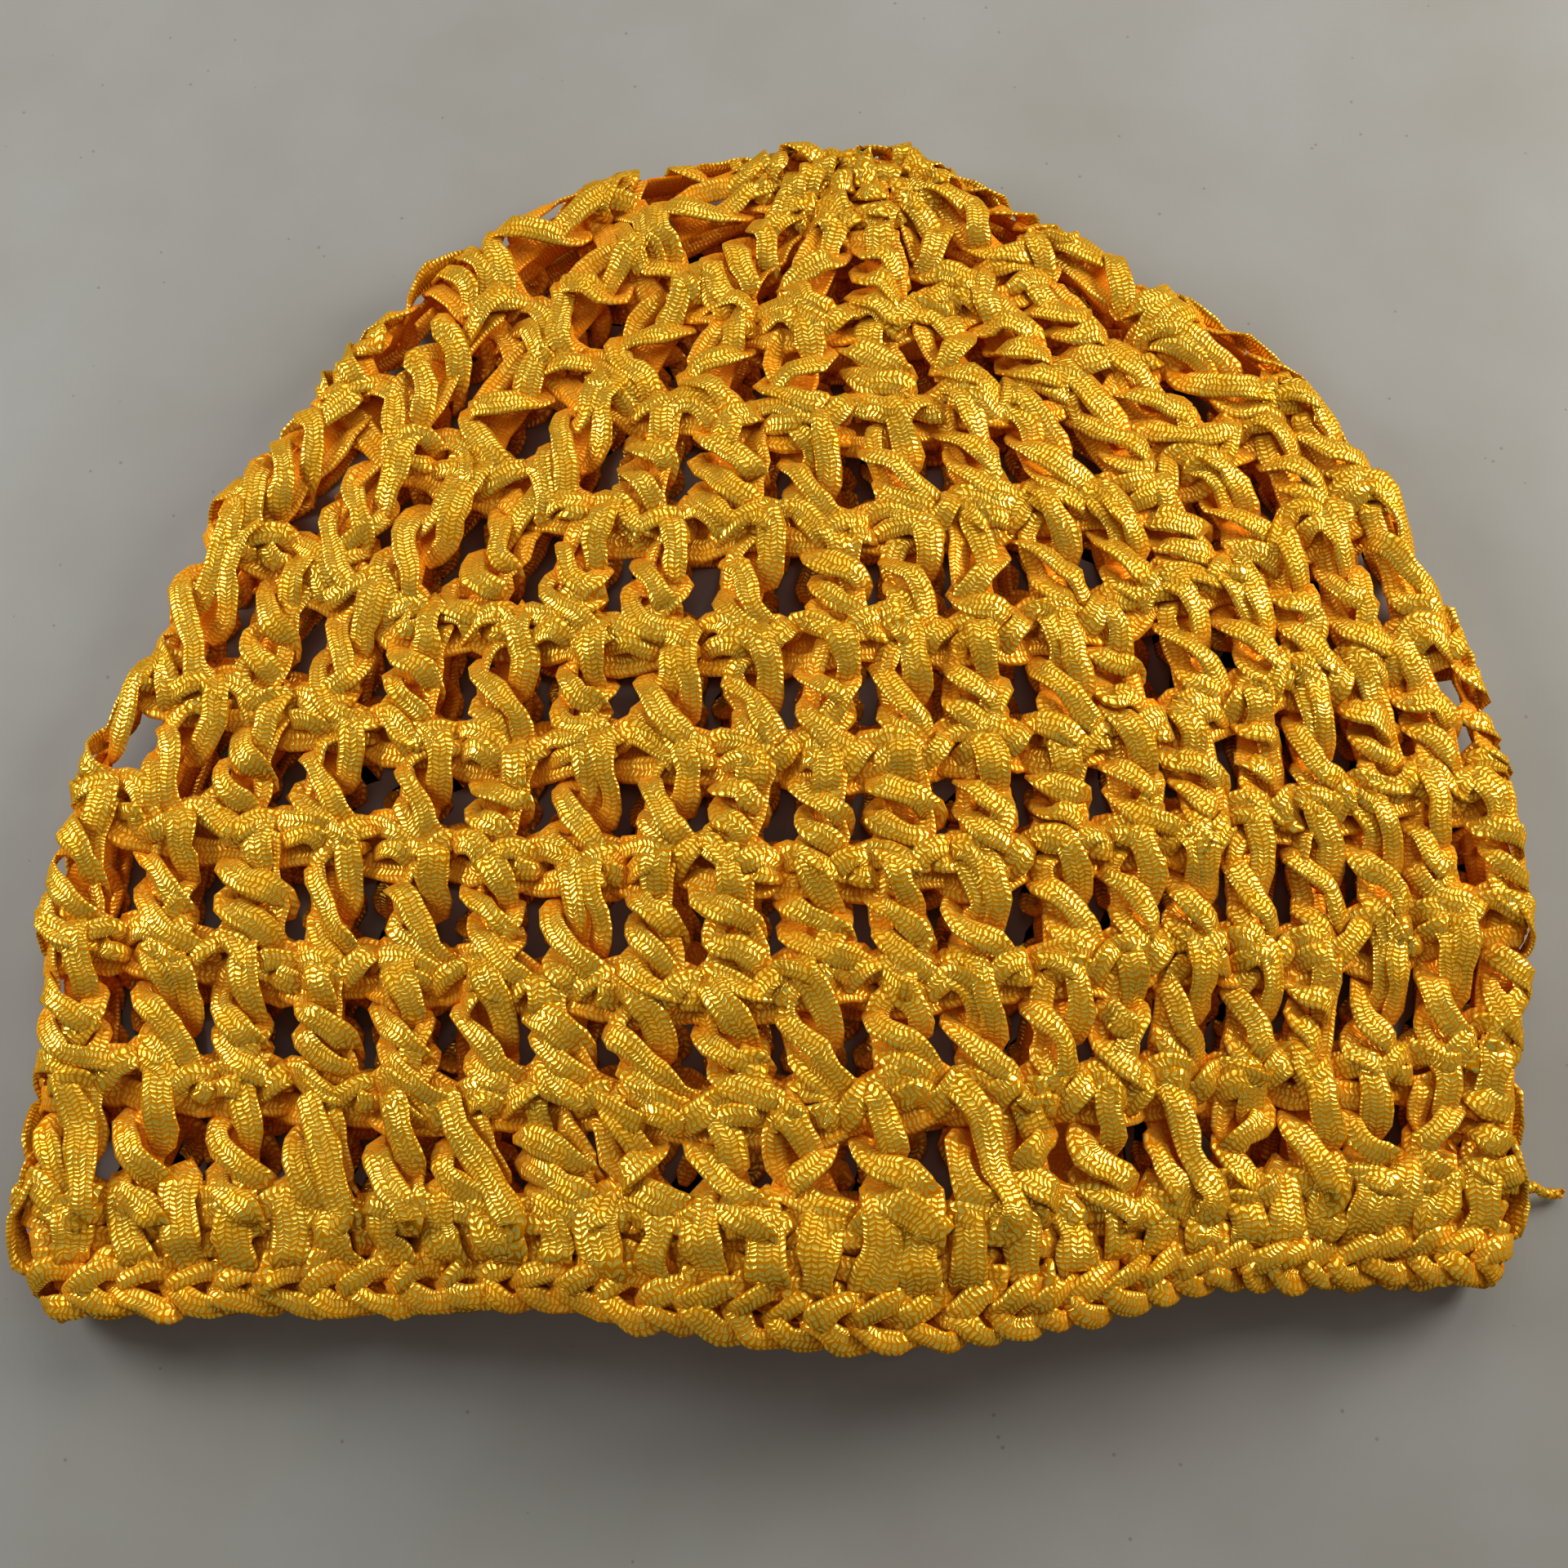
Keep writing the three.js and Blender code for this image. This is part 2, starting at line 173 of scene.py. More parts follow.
def loop_of(line):
    """The closed loop along a line, from the middle of the lower layer round by the left."""
    shares = np.linspace(0, 1, LAYER_STEPS + 1)
    plan = plan_of(line, shares)
    lift = line.lift * hump(shares, LIFT_PEAK, line.spread)
    upper = np.column_stack([plan, LOW_Z + FOLD_GAP + lift])
    lower = np.column_stack([plan, np.full(len(shares), LOW_Z)])
    turns = np.linspace(0, 1, FOLD_STEPS + 1)[1:-1]
    left_out = (plan[0] - plan[1]) / np.linalg.norm(plan[0] - plan[1])
    right_out = (plan[-1] - plan[-2]) / np.linalg.norm(plan[-1] - plan[-2])
    middle = LAYER_STEPS // 2
    left_fold = fold_of(plan[0], left_out, turns[::-1])
    right_fold = fold_of(plan[-1], right_out, turns)
    by_left = np.concatenate([lower[middle::-1], left_fold, upper[: middle + 1]])
    by_right = np.concatenate([upper[middle:], right_fold, lower[: middle - 1 : -1]])
    return np.concatenate([evenly(by_left, HALF_COLUMNS), evenly(by_right, HALF_COLUMNS)[1:]])


def apex_loop():
    """At the apex the loop closes up to the half circle of the top fold, run over twice."""
    turns = np.abs(np.linspace(1, -1, 2 * HALF_COLUMNS + 1))
    return fold_of((APEX[0], APEX[1] - INSET), (0, 1), turns)


def ripple(share, level, waves):
    """A smooth uneven ripple over the cloth that closes round the loop."""
    total = np.zeros(np.broadcast(share, level).shape)
    for size, around, down, start in waves:
        total += size * np.sin(2 * math.pi * (around * share + down * level) + start)
    return total


# Ripples as size, waves round the loop, waves for each ring and where they start
SIDEWAYS_RIPPLE = [
    (0.022, 1, 0, -1.57),
    (0.0016, 5, 0.21, 0.4),
    (0.0012, 11, 0.37, 2.1),
    (0.0009, 17, -0.43, 4.0),
    (0.0007, 29, 0.9, 1.0),
]
DOWNWARD_RIPPLE = [
    (0.045, 4, 0.17, 1.2),
    (0.035, 9, -0.31, 3.3),
    (0.030, 16, 0.41, 0.3),
    (0.025, 27, 0.8, 5.0),
]
OUTWARD_RIPPLE = [(0.5, 6, 0.23, 0.9), (0.4, 13, -0.35, 2.6), (0.35, 21, 0.77, 4.4)]

LOOPS = np.array([apex_loop()] + [loop_of(line) for line in LINES])


def cloth_points(share, level):
    """Points of the cloth's middle surface. level counts lines, and is -1 at the apex."""
    ahead = 2 * LOOPS[0] - LOOPS[1]
    beyond = 2 * LOOPS[-1] - LOOPS[-2]
    stack = np.concatenate([[ahead], LOOPS, [beyond]])
    place = np.clip(level + 2, 1, len(stack) - 2 - 1e-6)
    past = level + 2 - place
    low = np.floor(place).astype(int)
    part = (place - low)[..., None]
    column = np.mod(share, 1) * 2 * HALF_COLUMNS
    first = np.clip(np.floor(column).astype(int), 0, 2 * HALF_COLUMNS - 1)
    weight = (column - first)[..., None]

    def row(index):
        index = np.clip(index, 0, len(stack) - 1)
        return stack[index, first] * (1 - weight) + stack[index, first + 1] * weight

    # A smooth curve through the lines, and a straight one past the last of them
    before, start, end, after = row(low - 1), row(low), row(low + 1), row(low + 2)
    bend = 2 * before - 5 * start + 4 * end - after
    twist = 3 * (start - end) + after - before
    points = start + 0.5 * part * (end - before + part * (bend + part * twist))
    points = points + past[..., None] * (end - start)
    fold = np.abs(np.sin(2 * math.pi * share)) ** 0.5
    bulge = np.where(level < 0, np.sin(math.pi * np.clip(level + 1, 0, 1)), 0)
    points[..., 1] += CROWN_BULGE * bulge * fold
    return points


# The most that the lower layer's stitches are shifted, round the loop and in lines
MOST_ROUND_SHIFT = 0.04
MOST_DOWN_SHIFT = 0.7


def seen_through(share, level):
    """Shifts, round and down, that bring the lower layer's gaps under the upper layer's for the viewer."""
    upper = cloth_points(0.5 - share, level)
    lower = cloth_points(share, level)
    viewer = np.array(CAMERA_PLACE)
    nearer = (upper[..., 2] - lower[..., 2]) / (viewer[2] - upper[..., 2])
    wanted = upper[..., :2] + (upper[..., :2] - viewer[:2]) * nearer[..., None]
    gap = wanted - lower[..., :2]
    step = 0.01
    round_step = (cloth_points(share + step, level) - cloth_points(share - step, level))[..., :2] / (2 * step)
    down_step = (cloth_points(share, level + step) - cloth_points(share, level - step))[..., :2] / (2 * step)
    area = round_step[..., 0] * down_step[..., 1] - round_step[..., 1] * down_step[..., 0]
    area = np.where(np.abs(area) < 1, 1, area)
    round_shift = (gap[..., 0] * down_step[..., 1] - gap[..., 1] * down_step[..., 0]) / area
    down_shift = (round_step[..., 0] * gap[..., 1] - round_step[..., 1] * gap[..., 0]) / area

    # The shift fades out towards the folds, the crown and the hem
    calm = np.clip(np.cos(2 * math.pi * share) * 2.5, 0, 1)
    calm = calm * np.clip((level - 0.5) / 2, 0, 1) * np.clip((EDGE_LINE - level) / 1.5, 0, 1)
    round_shift = np.clip(round_shift, -MOST_ROUND_SHIFT, MOST_ROUND_SHIFT)
    down_shift = np.clip(down_shift, -MOST_DOWN_SHIFT, MOST_DOWN_SHIFT)
    return calm * round_shift, calm * down_shift


def cloth_surface(name, top_level, bottom_level):
    """A mesh of the cloth's middle surface round one ring, a little past both of its lines.

    Its points carry place, where they are round and down the ring, and the directions along the
    ring and out of the cloth.
    """
    round_shares = np.linspace(0, 1, 2 * HALF_COLUMNS + 1)
    down_shares = np.linspace(-OVERRUN, 1 + OVERRUN, SURFACE_ROWS + 1)
    share, down = np.meshgrid(round_shares, down_shares)
    level = top_level + (bottom_level - top_level) * down
    slopes = np.array([0] + [line.slope for line in LINES])
    slope = slopes[int(top_level) + 1]
    upper_share = np.clip((share - 0.25) * 2, 0, 1)
    girth = np.linalg.norm(np.diff(LOOPS[int(top_level) + 1], axis=0), axis=1).sum()
    lean = slope / max(girth, 1) * hump(upper_share, SLOPE_PEAK, SLOPE_SPREAD) * (np.clip(down, 0, 1) - 0.5)
    calm = np.clip(level + 1, 0, 1)
    moved_share = share + lean + calm * ripple(share, level, SIDEWAYS_RIPPLE)
    moved_level = level + calm * ripple(share, level, DOWNWARD_RIPPLE)
    round_shift, down_shift = seen_through(moved_share, moved_level)
    moved_share = moved_share + round_shift
    moved_level = moved_level + down_shift
    points = cloth_points(moved_share, moved_level)

    # Directions from the points a little way to either side
    nudge = 0.002
    drop = 0.02
    along = cloth_points(moved_share + nudge, moved_level) - cloth_points(moved_share - nudge, moved_level)
    across = cloth_points(moved_share, moved_level + drop) - cloth_points(moved_share, moved_level - drop)
    out = np.cross(across, along)
    size = np.linalg.norm(out, axis=2, keepdims=True)
    turn = np.abs(1 - 2 * share)
    apex_out = np.stack([np.zeros_like(turn), np.sin(turn * math.pi), np.cos(turn * math.pi)], axis=2)
    out = np.where(size > 1e-6, out / np.maximum(size, 1e-6), apex_out)
    along /= np.maximum(np.linalg.norm(along, axis=2, keepdims=True), 1e-6)
    points = points + out * (calm * ripple(share, level, OUTWARD_RIPPLE))[..., None]

    rows, columns = share.shape
    index = np.arange(rows * columns).reshape(rows, columns)
    quads = np.stack([index[1:, :-1], index[1:, 1:], index[:-1, 1:], index[:-1, :-1]], axis=2).reshape(-1, 4)
    mesh = bpy.data.meshes.new(name)
    mesh.from_pydata((points.reshape(-1, 3) * MM).tolist(), [], quads.tolist())
    place = np.stack([share, (down + OVERRUN) / (1 + 2 * OVERRUN), np.zeros_like(share)], axis=2)
    for key, value in (("place", place), ("along_ring", along), ("out_of_cloth", out)):
        layer = mesh.attributes.new(key, "FLOAT_VECTOR", "POINT")
        layer.data.foreach_set("vector", value.reshape(-1).astype(np.float32))
    return mesh


# Stitch shapes. Each strand is a ribbon width and thickness in millimetres, how far it is turned on
# edge in degrees, and its path: across in hundredths of a stitch, down in hundredths of the ring's
# height, out of the cloth in tenths of a millimetre, and where it is given, a factor on the width.
CHAIN_BACK = (6.6, 1.2, 0, [(-62, 99, -13), (-20, 102, -15), (20, 98, -15), (62, 100, -13)])
CHAIN_LOW = (4.4, 1.1, 0, [
    (-66, 113, -5), (-46, 116, 3), (-18, 118, 8), (12, 115, 9), (38, 116, 4), (60, 113, -5)
])
CHAIN_HIGH = (3.8, 1.0, 0, [
    (-62, 90, -8), (-40, 84, 4), (-14, 85, 9), (14, 84, 6), (40, 88, 2), (62, 92, -8)
])
COLLAR = (2.9, 0.9, 15, [(-30, 2, 4), (-20, -6, 20), (-4, 0, 32), (12, 9, 35), (26, 10, 24), (34, 4, 6)])
CROSSED_CHAIN = [
    (3.8, 1.0, 5, [(-60, 102, -6), (-46, 92, 13), (-22, 89, 26), (2, 94, 27), (22, 103, 16), (34, 112, -2)]),
    (3.9, 1.0, 0, [(6, 116, 0), (20, 112, 17), (38, 102, 29), (54, 92, 21), (64, 88, 1)]),
    (3.6, 1.0, 10, [(-40, 112, 4), (-26, 106, 22), (-6, 104, 32), (10, 110, 22), (20, 118, 6)]),
    CHAIN_HIGH,
    CHAIN_LOW,
    CHAIN_BACK,
]
HOOKED_CHAIN = [
    (4.0, 1.0, 5, [(-58, 98, -4), (-42, 89, 16), (-18, 92, 26), (2, 102, 26), (16, 112, 16), (22, 118, 0)]),
    (3.8, 1.0, 0, [(-10, 116, -2), (6, 107, 20), (24, 97, 31), (42, 91, 24), (56, 95, 10), (62, 100, -4)]),
    (3.5, 1.0, 10, [(18, 98, 2), (30, 103, 20), (44, 108, 26), (58, 107, 16), (66, 102, -2)]),
    CHAIN_HIGH,
    CHAIN_LOW,
    CHAIN_BACK,
]
POST_BACK = (5.4, 1.2, 0, [(0, 2, -12), (0, 34, -10), (-1, 66, -10), (0, 98, -12)])
TALL_STITCHES = {
    "leg_over": CROSSED_CHAIN + [
        (4.6, 1.0, 0, [
            (2, 8, -14), (2, -8, 0), (3, -9, 22), (6, 4, 36), (12, 22, 34), (18, 38, 18, 0.9),
            (14, 50, -6, 0.8)
        ]),
        (3.9, 1.0, 0, [(16, 34, -8), (24, 42, 6), (22, 54, 22), (10, 68, 26), (-4, 82, 16), (-12, 94, -2)]),
        (3.7, 0.9, 0, [
            (0, 20, -13), (-20, 23, -8), (-31, 30, 6), (-22, 40, 22), (-2, 52, 33), (16, 62, 27), (25, 69, 9),
            (10, 76, -10)
        ]),
        (3.7, 0.9, 0, [
            (6, 46, -13), (-18, 50, -8), (-31, 58, 6), (-25, 69, 20), (-4, 82, 32), (20, 91, 33),
            (42, 97, 23, 0.85), (58, 103, 1, 0.7)
        ]),
        (3.4, 1.0, 20, [
            (-12, -6, 4), (-18, 12, 12), (-24, 36, 4), (-25, 62, 0), (-20, 86, 8), (-12, 102, 6)
        ]),
        (3.0, 0.9, -10, [
            (24, 60, -4), (26, 70, 10), (18, 80, 22), (4, 92, 24), (-10, 102, 18), (-20, 108, 4)
        ]),
        POST_BACK,
    ],
    "two_legs": HOOKED_CHAIN + [
        (4.1, 1.0, 0, [
            (16, 6, -10), (17, -9, 6), (16, -4, 28), (18, 16, 35), (24, 36, 26), (26, 54, 10), (16, 68, -8)
        ]),
        (3.9, 1.0, 5, [(-14, 4, -10), (-15, -7, 8), (-11, 4, 25), (-2, 20, 30), (2, 38, 18), (-10, 54, 2)]),
        COLLAR,
        (4.0, 0.9, 0, [
            (-5, 26, -12), (-22, 30, -4), (-31, 38, 10), (-20, 52, 27), (-2, 67, 35), (15, 80, 34),
            (30, 91, 24, 0.9), (46, 100, 4, 0.8)
        ]),
        (3.4, 0.9, 0, [(0, 56, -12), (-20, 64, 0), (-29, 74, 14), (-16, 87, 25), (2, 99, 25), (14, 110, 6)]),
        POST_BACK,
    ],
    "broad_wrap": HOOKED_CHAIN + [
        (4.8, 1.0, 0, [(-4, 10, -12), (-5, -8, 4), (-3, -7, 24), (2, 8, 32), (6, 24, 24), (2, 40, 4)]),
        (3.4, 0.9, 15, [(20, 2, 2), (20, 8, 19), (17, 28, 16), (20, 50, 12), (24, 72, 12), (20, 92, 8)]),
        (4.3, 0.9, 0, [
            (-10, 18, -10), (-28, 22, 2), (-27, 29, 19), (-8, 38, 32), (14, 46, 32), (28, 54, 20),
            (30, 60, 3), (14, 64, -10)
        ]),
        (3.9, 0.9, 0, [
            (8, 44, -10), (-16, 46, 0), (-28, 53, 13), (-18, 64, 25), (2, 73, 29), (20, 80, 22), (26, 90, 8)
        ]),
        (3.5, 0.9, -15, [
            (-20, 66, 6), (-25, 76, 16), (-16, 90, 25), (0, 100, 31), (20, 104, 25), (36, 102, 4)
        ]),
        POST_BACK,
    ],
    "forked": CROSSED_CHAIN + [
        (4.7, 1.0, 0, [
            (8, 8, -12), (8, -10, 2), (9, -8, 25), (14, 8, 35), (20, 26, 29), (22, 44, 14), (14, 58, -6)
        ]),
        (3.4, 0.9, 20, [
            (8, 10, 8), (-10, 14, 20), (-22, 26, 18), (-24, 42, 12), (-20, 60, 6), (-22, 80, 4), (-14, 98, 4)
        ]),
        (3.7, 0.9, 0, [
            (-28, 22, -6), (-31, 32, 14), (-14, 46, 29), (4, 60, 34), (18, 74, 31), (30, 88, 18), (44, 98, 2)
        ]),
        (3.7, 0.9, 0, [(4, 52, -10), (-16, 58, 2), (-23, 68, 16), (-6, 80, 27), (12, 90, 25), (26, 100, 10)]),
        COLLAR,
        POST_BACK,
    ],
}
CLOSE_STITCHES = {
    "wound": HOOKED_CHAIN + [
        (4.6, 1.0, 0, [(2, 4, -12), (2, -6, 4), (0, 2, 24), (-2, 14, 30), (-6, 30, 22), (-10, 42, 8)]),
        (4.4, 1.0, 0, [
            (6, 16, -12), (-22, 18, -6), (-34, 24, 6), (-22, 32, 24), (2, 42, 34), (24, 52, 26), (32, 58, 8),
            (14, 62, -10)
        ]),
        (4.4, 1.0, 0, [
            (6, 42, -12), (-22, 44, -6), (-34, 50, 6), (-20, 60, 24), (4, 70, 34), (26, 78, 24), (32, 84, 6)
        ]),
        (4.2, 1.0, 0, [(4, 66, -10), (-20, 68, -4), (-32, 74, 8), (-16, 86, 26), (6, 96, 32), (28, 102, 16)]),
        (3.8, 1.0, 15, [(30, 10, 4), (26, 26, 14), (30, 44, 8), (24, 62, 12), (30, 84, 4)]),
        POST_BACK,
    ],
    "wound_back": CROSSED_CHAIN + [
        (4.6, 1.0, 0, [(-6, 6, -12), (-4, -8, 6), (-2, 0, 25), (4, 16, 30), (10, 34, 20), (14, 48, 6)]),
        (4.3, 1.0, 0, [
            (-4, 30, -12), (22, 28, -4), (32, 34, 8), (18, 44, 26), (-6, 54, 34), (-26, 64, 22), (-32, 72, 6)
        ]),
        (4.3, 1.0, 0, [
            (6, 58, -12), (-20, 58, -4), (-33, 64, 8), (-18, 74, 26), (8, 84, 33), (28, 92, 20), (36, 100, 4)
        ]),
        (3.8, 1.0, -15, [(-28, 6, 4), (-26, 22, 14), (-30, 42, 8), (-22, 62, 6)]),
        COLLAR,
        POST_BACK,
    ],
}
HEM_LOOPS = {
    "teardrop": HOOKED_CHAIN + [
        (4.6, 1.0, 0, [
            (-10, 10, -10), (-12, -6, 6), (-8, 2, 26), (4, 22, 34), (18, 46, 34), (32, 72, 38), (40, 98, 42),
            (34, 116, 38), (16, 118, 30), (2, 106, 20), (-6, 90, 10)
        ]),
        (4.2, 1.0, 0, [
            (6, 34, -10), (-18, 36, -2), (-30, 44, 12), (-22, 60, 26), (-4, 78, 30), (10, 94, 24),
            (16, 108, 10)
        ]),
        (3.8, 1.0, 0, [(22, 6, 2), (22, 12, 18), (24, 30, 18), (34, 48, 10), (40, 66, 2)]),
        POST_BACK,
    ],
    "folded_end": HOOKED_CHAIN + [
        (4.6, 1.0, 0, [
            (10, 8, -12), (10, -8, 4), (11, -4, 26), (16, 16, 34), (22, 38, 28), (24, 56, 14), (14, 68, -6)
        ]),
        (4.6, 1.0, 0, [
            (-8, 28, -10), (-28, 32, 4), (-24, 44, 22), (-6, 64, 34), (12, 86, 39), (22, 106, 40),
            (16, 119, 32), (-2, 116, 22), (-14, 104, 10)
        ]),
        (3.9, 1.0, 0, [(10, 60, -8), (28, 66, 8), (36, 78, 22), (40, 94, 26), (44, 110, 14)]),
        POST_BACK,
    ],
    "two_turns": CROSSED_CHAIN + [
        (4.4, 1.0, 0, [(-2, 8, -12), (-2, -8, 4), (0, -2, 26), (8, 18, 34), (14, 38, 26), (12, 54, 6)]),
        (4.4, 1.0, 0, [
            (-4, 26, -10), (-26, 30, 2), (-28, 42, 20), (-10, 56, 32), (14, 68, 32), (28, 80, 16),
            (20, 90, -2)
        ]),
        (4.5, 1.0, 0, [
            (-6, 60, -6), (-24, 68, 8), (-18, 82, 28), (2, 96, 38), (22, 110, 40), (26, 120, 30),
            (10, 122, 18), (-6, 112, 8)
        ]),
        POST_BACK,
    ],
}
BAND_BACK = [
    (5.6, 1.2, 0, [(-60, 28, -15), (-20, 26, -17), (20, 30, -17), (60, 28, -15)]),
    (5.6, 1.2, 0, [(-60, 78, -15), (-20, 76, -17), (20, 80, -17), (60, 78, -15)]),
]
SHORT_STITCHES = {
    "rib": [
        (5.9, 1.4, 0, [
            (0, 20, -12), (0, -22, -4), (0, -26, 14), (1, 0, 26), (2, 40, 30), (2, 80, 26), (1, 104, 12),
            (0, 98, -8)
        ]),
        (3.8, 1.2, 0, [(22, 62, 0), (32, 58, 9), (50, 60, 14), (68, 62, 9), (79, 66, 2)]),
        (3.6, 1.2, 0, [(20, 10, 2), (32, 12, 12), (50, 16, 15), (68, 14, 11), (80, 16, 3)]),
        (4.4, 1.4, 0, [(26, 96, 0), (38, 100, 13), (52, 102, 17), (66, 102, 12), (76, 102, -2)]),
        *BAND_BACK,
    ],
    "narrow_rib": [
        (5.4, 1.4, 0, [
            (2, 20, -12), (2, -18, -4), (2, -20, 14), (4, 4, 25), (4, 40, 28), (2, 76, 25), (1, 100, 12),
            (0, 96, -8)
        ]),
        (3.8, 1.2, 0, [(22, 56, 0), (32, 50, 10), (48, 50, 16), (66, 56, 10), (78, 62, 2)]),
        (3.4, 1.2, 0, [(24, 4, 4), (34, 6, 17), (50, 8, 22), (66, 6, 17), (78, 10, 3)]),
        (4.6, 1.4, 0, [(24, 90, 0), (36, 94, 15), (50, 98, 20), (66, 98, 13), (78, 98, -2)]),
        *BAND_BACK,
    ],
}
CHAIN_SHAPES = {
    "plait": [
        (3.5, 1.6, 0, [(-25, 56, 6), (5, 44, 20), (40, 24, 24), (80, 8, 19), (115, 12, 8), (135, 28, -6)]),
        (3.5, 1.6, 0, [(-25, 40, 4), (5, 58, 18), (40, 80, 22), (80, 94, 18), (115, 90, 8), (135, 74, -6)]),
        (4.0, 1.3, 0, [(-60, 36, -14), (0, 30, -16), (60, 36, -14)]),
        (3.0, 1.3, 0, [(-60, 74, -12), (0, 78, -13), (60, 74, -12)]),
    ],
}


def wide_side(path):
    """Which way the ribbon's width lies in the cloth at each point of a path, as across and down."""
    places = np.array([(point[0] * DRAWN_PITCH, point[1] * DRAWN_HEIGHT) for point in path])
    steps = np.diff(places, axis=0)
    middles = np.arange(len(steps)) + 0.5
    sides = []
    # The heading at a point is mostly that of the steps next to it
    for i in range(len(path)):
        closeness = np.exp(-((middles - i) ** 2) / 1.6)
        heading = (steps * closeness[:, None]).sum(axis=0)
        heading /= max(np.linalg.norm(heading), 1e-6)
        sides.append((heading[1], -heading[0]))
    return np.array(sides)


def stitch_shape(name, strands):
    """An object whose edges are the strands of one stitch, with the ribbon's size at each point."""
    points, edges, widths, thicknesses, sides = [], [], [], [], []
    for width, thickness, turned, drawn in strands:
        first = len(points)
        path = [(across / 100, down / 100, out / 10 * MM) for across, down, out, *_ in drawn]
        points += path
        edges += [(first + i, first + i + 1) for i in range(len(path) - 1)]
        widths += [width * MM * (point[3] if len(point) == 4 else 1) for point in drawn]
        thicknesses += [thickness * MM] * len(path)
        roll = math.radians(turned)
        sides += [(x * math.cos(roll), y * math.cos(roll), math.sin(roll)) for x, y in wide_side(path)]
    mesh = bpy.data.meshes.new(name)
    mesh.from_pydata(points, edges, [])
    add_ribbon_sizes(mesh, widths, thicknesses, sides)
    return bpy.data.objects.new(name, mesh)


def add_ribbon_sizes(mesh, widths, thicknesses, sides):
    """Stores the ribbon's width, thickness and the way its width lies on a mesh of strands."""
    mesh.attributes.new("ribbon_width", "FLOAT", "POINT").data.foreach_set("value", widths)
    mesh.attributes.new("ribbon_thickness", "FLOAT", "POINT").data.foreach_set("value", thicknesses)
    flat = [value for side in sides for value in side]
    mesh.attributes.new("ribbon_side", "FLOAT_VECTOR", "POINT").data.foreach_set("vector", flat)


# Building node trees
def open_socket(sockets, key):
    """The socket of that name, or at that index, that is in use."""
    if isinstance(key, int):
        return [socket for socket in sockets if socket.enabled][key]
    return next(socket for socket in sockets if socket.enabled and socket.name == key)


def add_node(tree, kind, inputs=None, **settings):
    """Adds a node, sets it up and feeds its inputs with sockets or plain values."""
    node = tree.nodes.new(kind)
    for key, value in settings.items():
        setattr(node, key, value)
    for key, value in (inputs or {}).items():
        socket = open_socket(node.inputs, key)
        if isinstance(value, bpy.types.NodeSocket):
            tree.links.new(value, socket)
        else:
            socket.default_value = value
    return node


def made(tree, kind, inputs=None, **settings):
    """Adds a node and returns its first result."""
    return open_socket(add_node(tree, kind, inputs, **settings).outputs, 0)


def sums(tree, operation, *values):
    """A Math node's result."""
    return made(tree, "ShaderNodeMath", dict(enumerate(values)), operation=operation)


def product(tree, value, *factors):
    """A value times each of the factors in turn."""
    for factor in factors:
        value = sums(tree, "MULTIPLY", value, factor)
    return value


def vectors(tree, operation, *values):
    """A Vector Math node's result."""
    return made(tree, "ShaderNodeVectorMath", dict(enumerate(values)), operation=operation)


def scaled(tree, vector, factor):
    """A vector times a number."""
    return made(tree, "ShaderNodeVectorMath", {0: vector, "Scale": factor}, operation="SCALE")


def split(tree, vector):
    """A vector's x, y and z."""
    return add_node(tree, "ShaderNodeSeparateXYZ", {0: vector}).outputs


def joined(tree, x=0.0, y=0.0, z=0.0):
    """A vector of x, y and z."""
    return made(tree, "ShaderNodeCombineXYZ", {0: x, 1: y, 2: z})


def noise(tree, place, scale, detail=1.0):
    """A smooth noise that runs from 0 to 1."""
    inputs = {"Vector": place, "Scale": scale, "Detail": detail}
    return add_node(tree, "ShaderNodeTexNoise", inputs).outputs[0]


def noise_vector(tree, place, scale):
    """A smooth noise whose three parts each run from 0 to 1."""
    inputs = {"Vector": place, "Scale": scale, "Detail": 1.0}
    return add_node(tree, "ShaderNodeTexNoise", inputs).outputs[1]


def centred(tree, vector, size):
    """A vector whose parts run from 0 to 1, moved to run both ways from zero, times a size."""
    return scaled(tree, vectors(tree, "SUBTRACT", vector, (0.5, 0.5, 0.5)), size)


def ranged(tree, value, low, high, to_low=0.0, to_high=1.0, **settings):
    """A value mapped from one range to another and held inside it."""
    inputs = {"Value": value, "From Min": low, "From Max": high, "To Min": to_low, "To Max": to_high}
    return add_node(tree, "ShaderNodeMapRange", inputs, **settings).outputs[0]


def named(tree, name, kind="FLOAT"):
    """A field that reads an attribute by name."""
    return made(tree, "GeometryNodeInputNamedAttribute", {"Name": name}, data_type=kind)


def stored(tree, geometry, name, kind, value, domain="POINT"):
    """The geometry with a field kept on it by name."""
    inputs = {"Geometry": geometry, "Name": name, "Value": value}
    return made(tree, "GeometryNodeStoreNamedAttribute", inputs, data_type=kind, domain=domain)


def chance(tree, low, high, identity, seed, kind="FLOAT"):
    """A random value for each identity."""
    inputs = {"Min": low, "Max": high, "ID": identity, "Seed": seed}
    return made(tree, "FunctionNodeRandomValue", inputs, data_type=kind)


def new_tree(name, inputs):
    """A Geometry Nodes tree with named inputs, and its input and output nodes."""
    tree = bpy.data.node_groups.new(name, "GeometryNodeTree")
    for label, kind in inputs:
        tree.interface.new_socket(label, in_out="INPUT", socket_type=kind)
    tree.interface.new_socket("Geometry", in_out="OUTPUT", socket_type="NodeSocketGeometry")
    return tree, tree.nodes.new("NodeGroupInput"), tree.nodes.new("NodeGroupOutput")


def finish_tree(tree, geometry, given, result):
    """Makes the geometry real, gives it the yarn and ends the tree with it."""
    yarn = given.outputs["Yarn"]
    geometry = made(tree, "GeometryNodeRealizeInstances", {"Geometry": geometry})
    geometry = made(tree, "GeometryNodeSetMaterial", {"Geometry": geometry, "Material": yarn})
    tree.links.new(geometry, result.inputs[0])


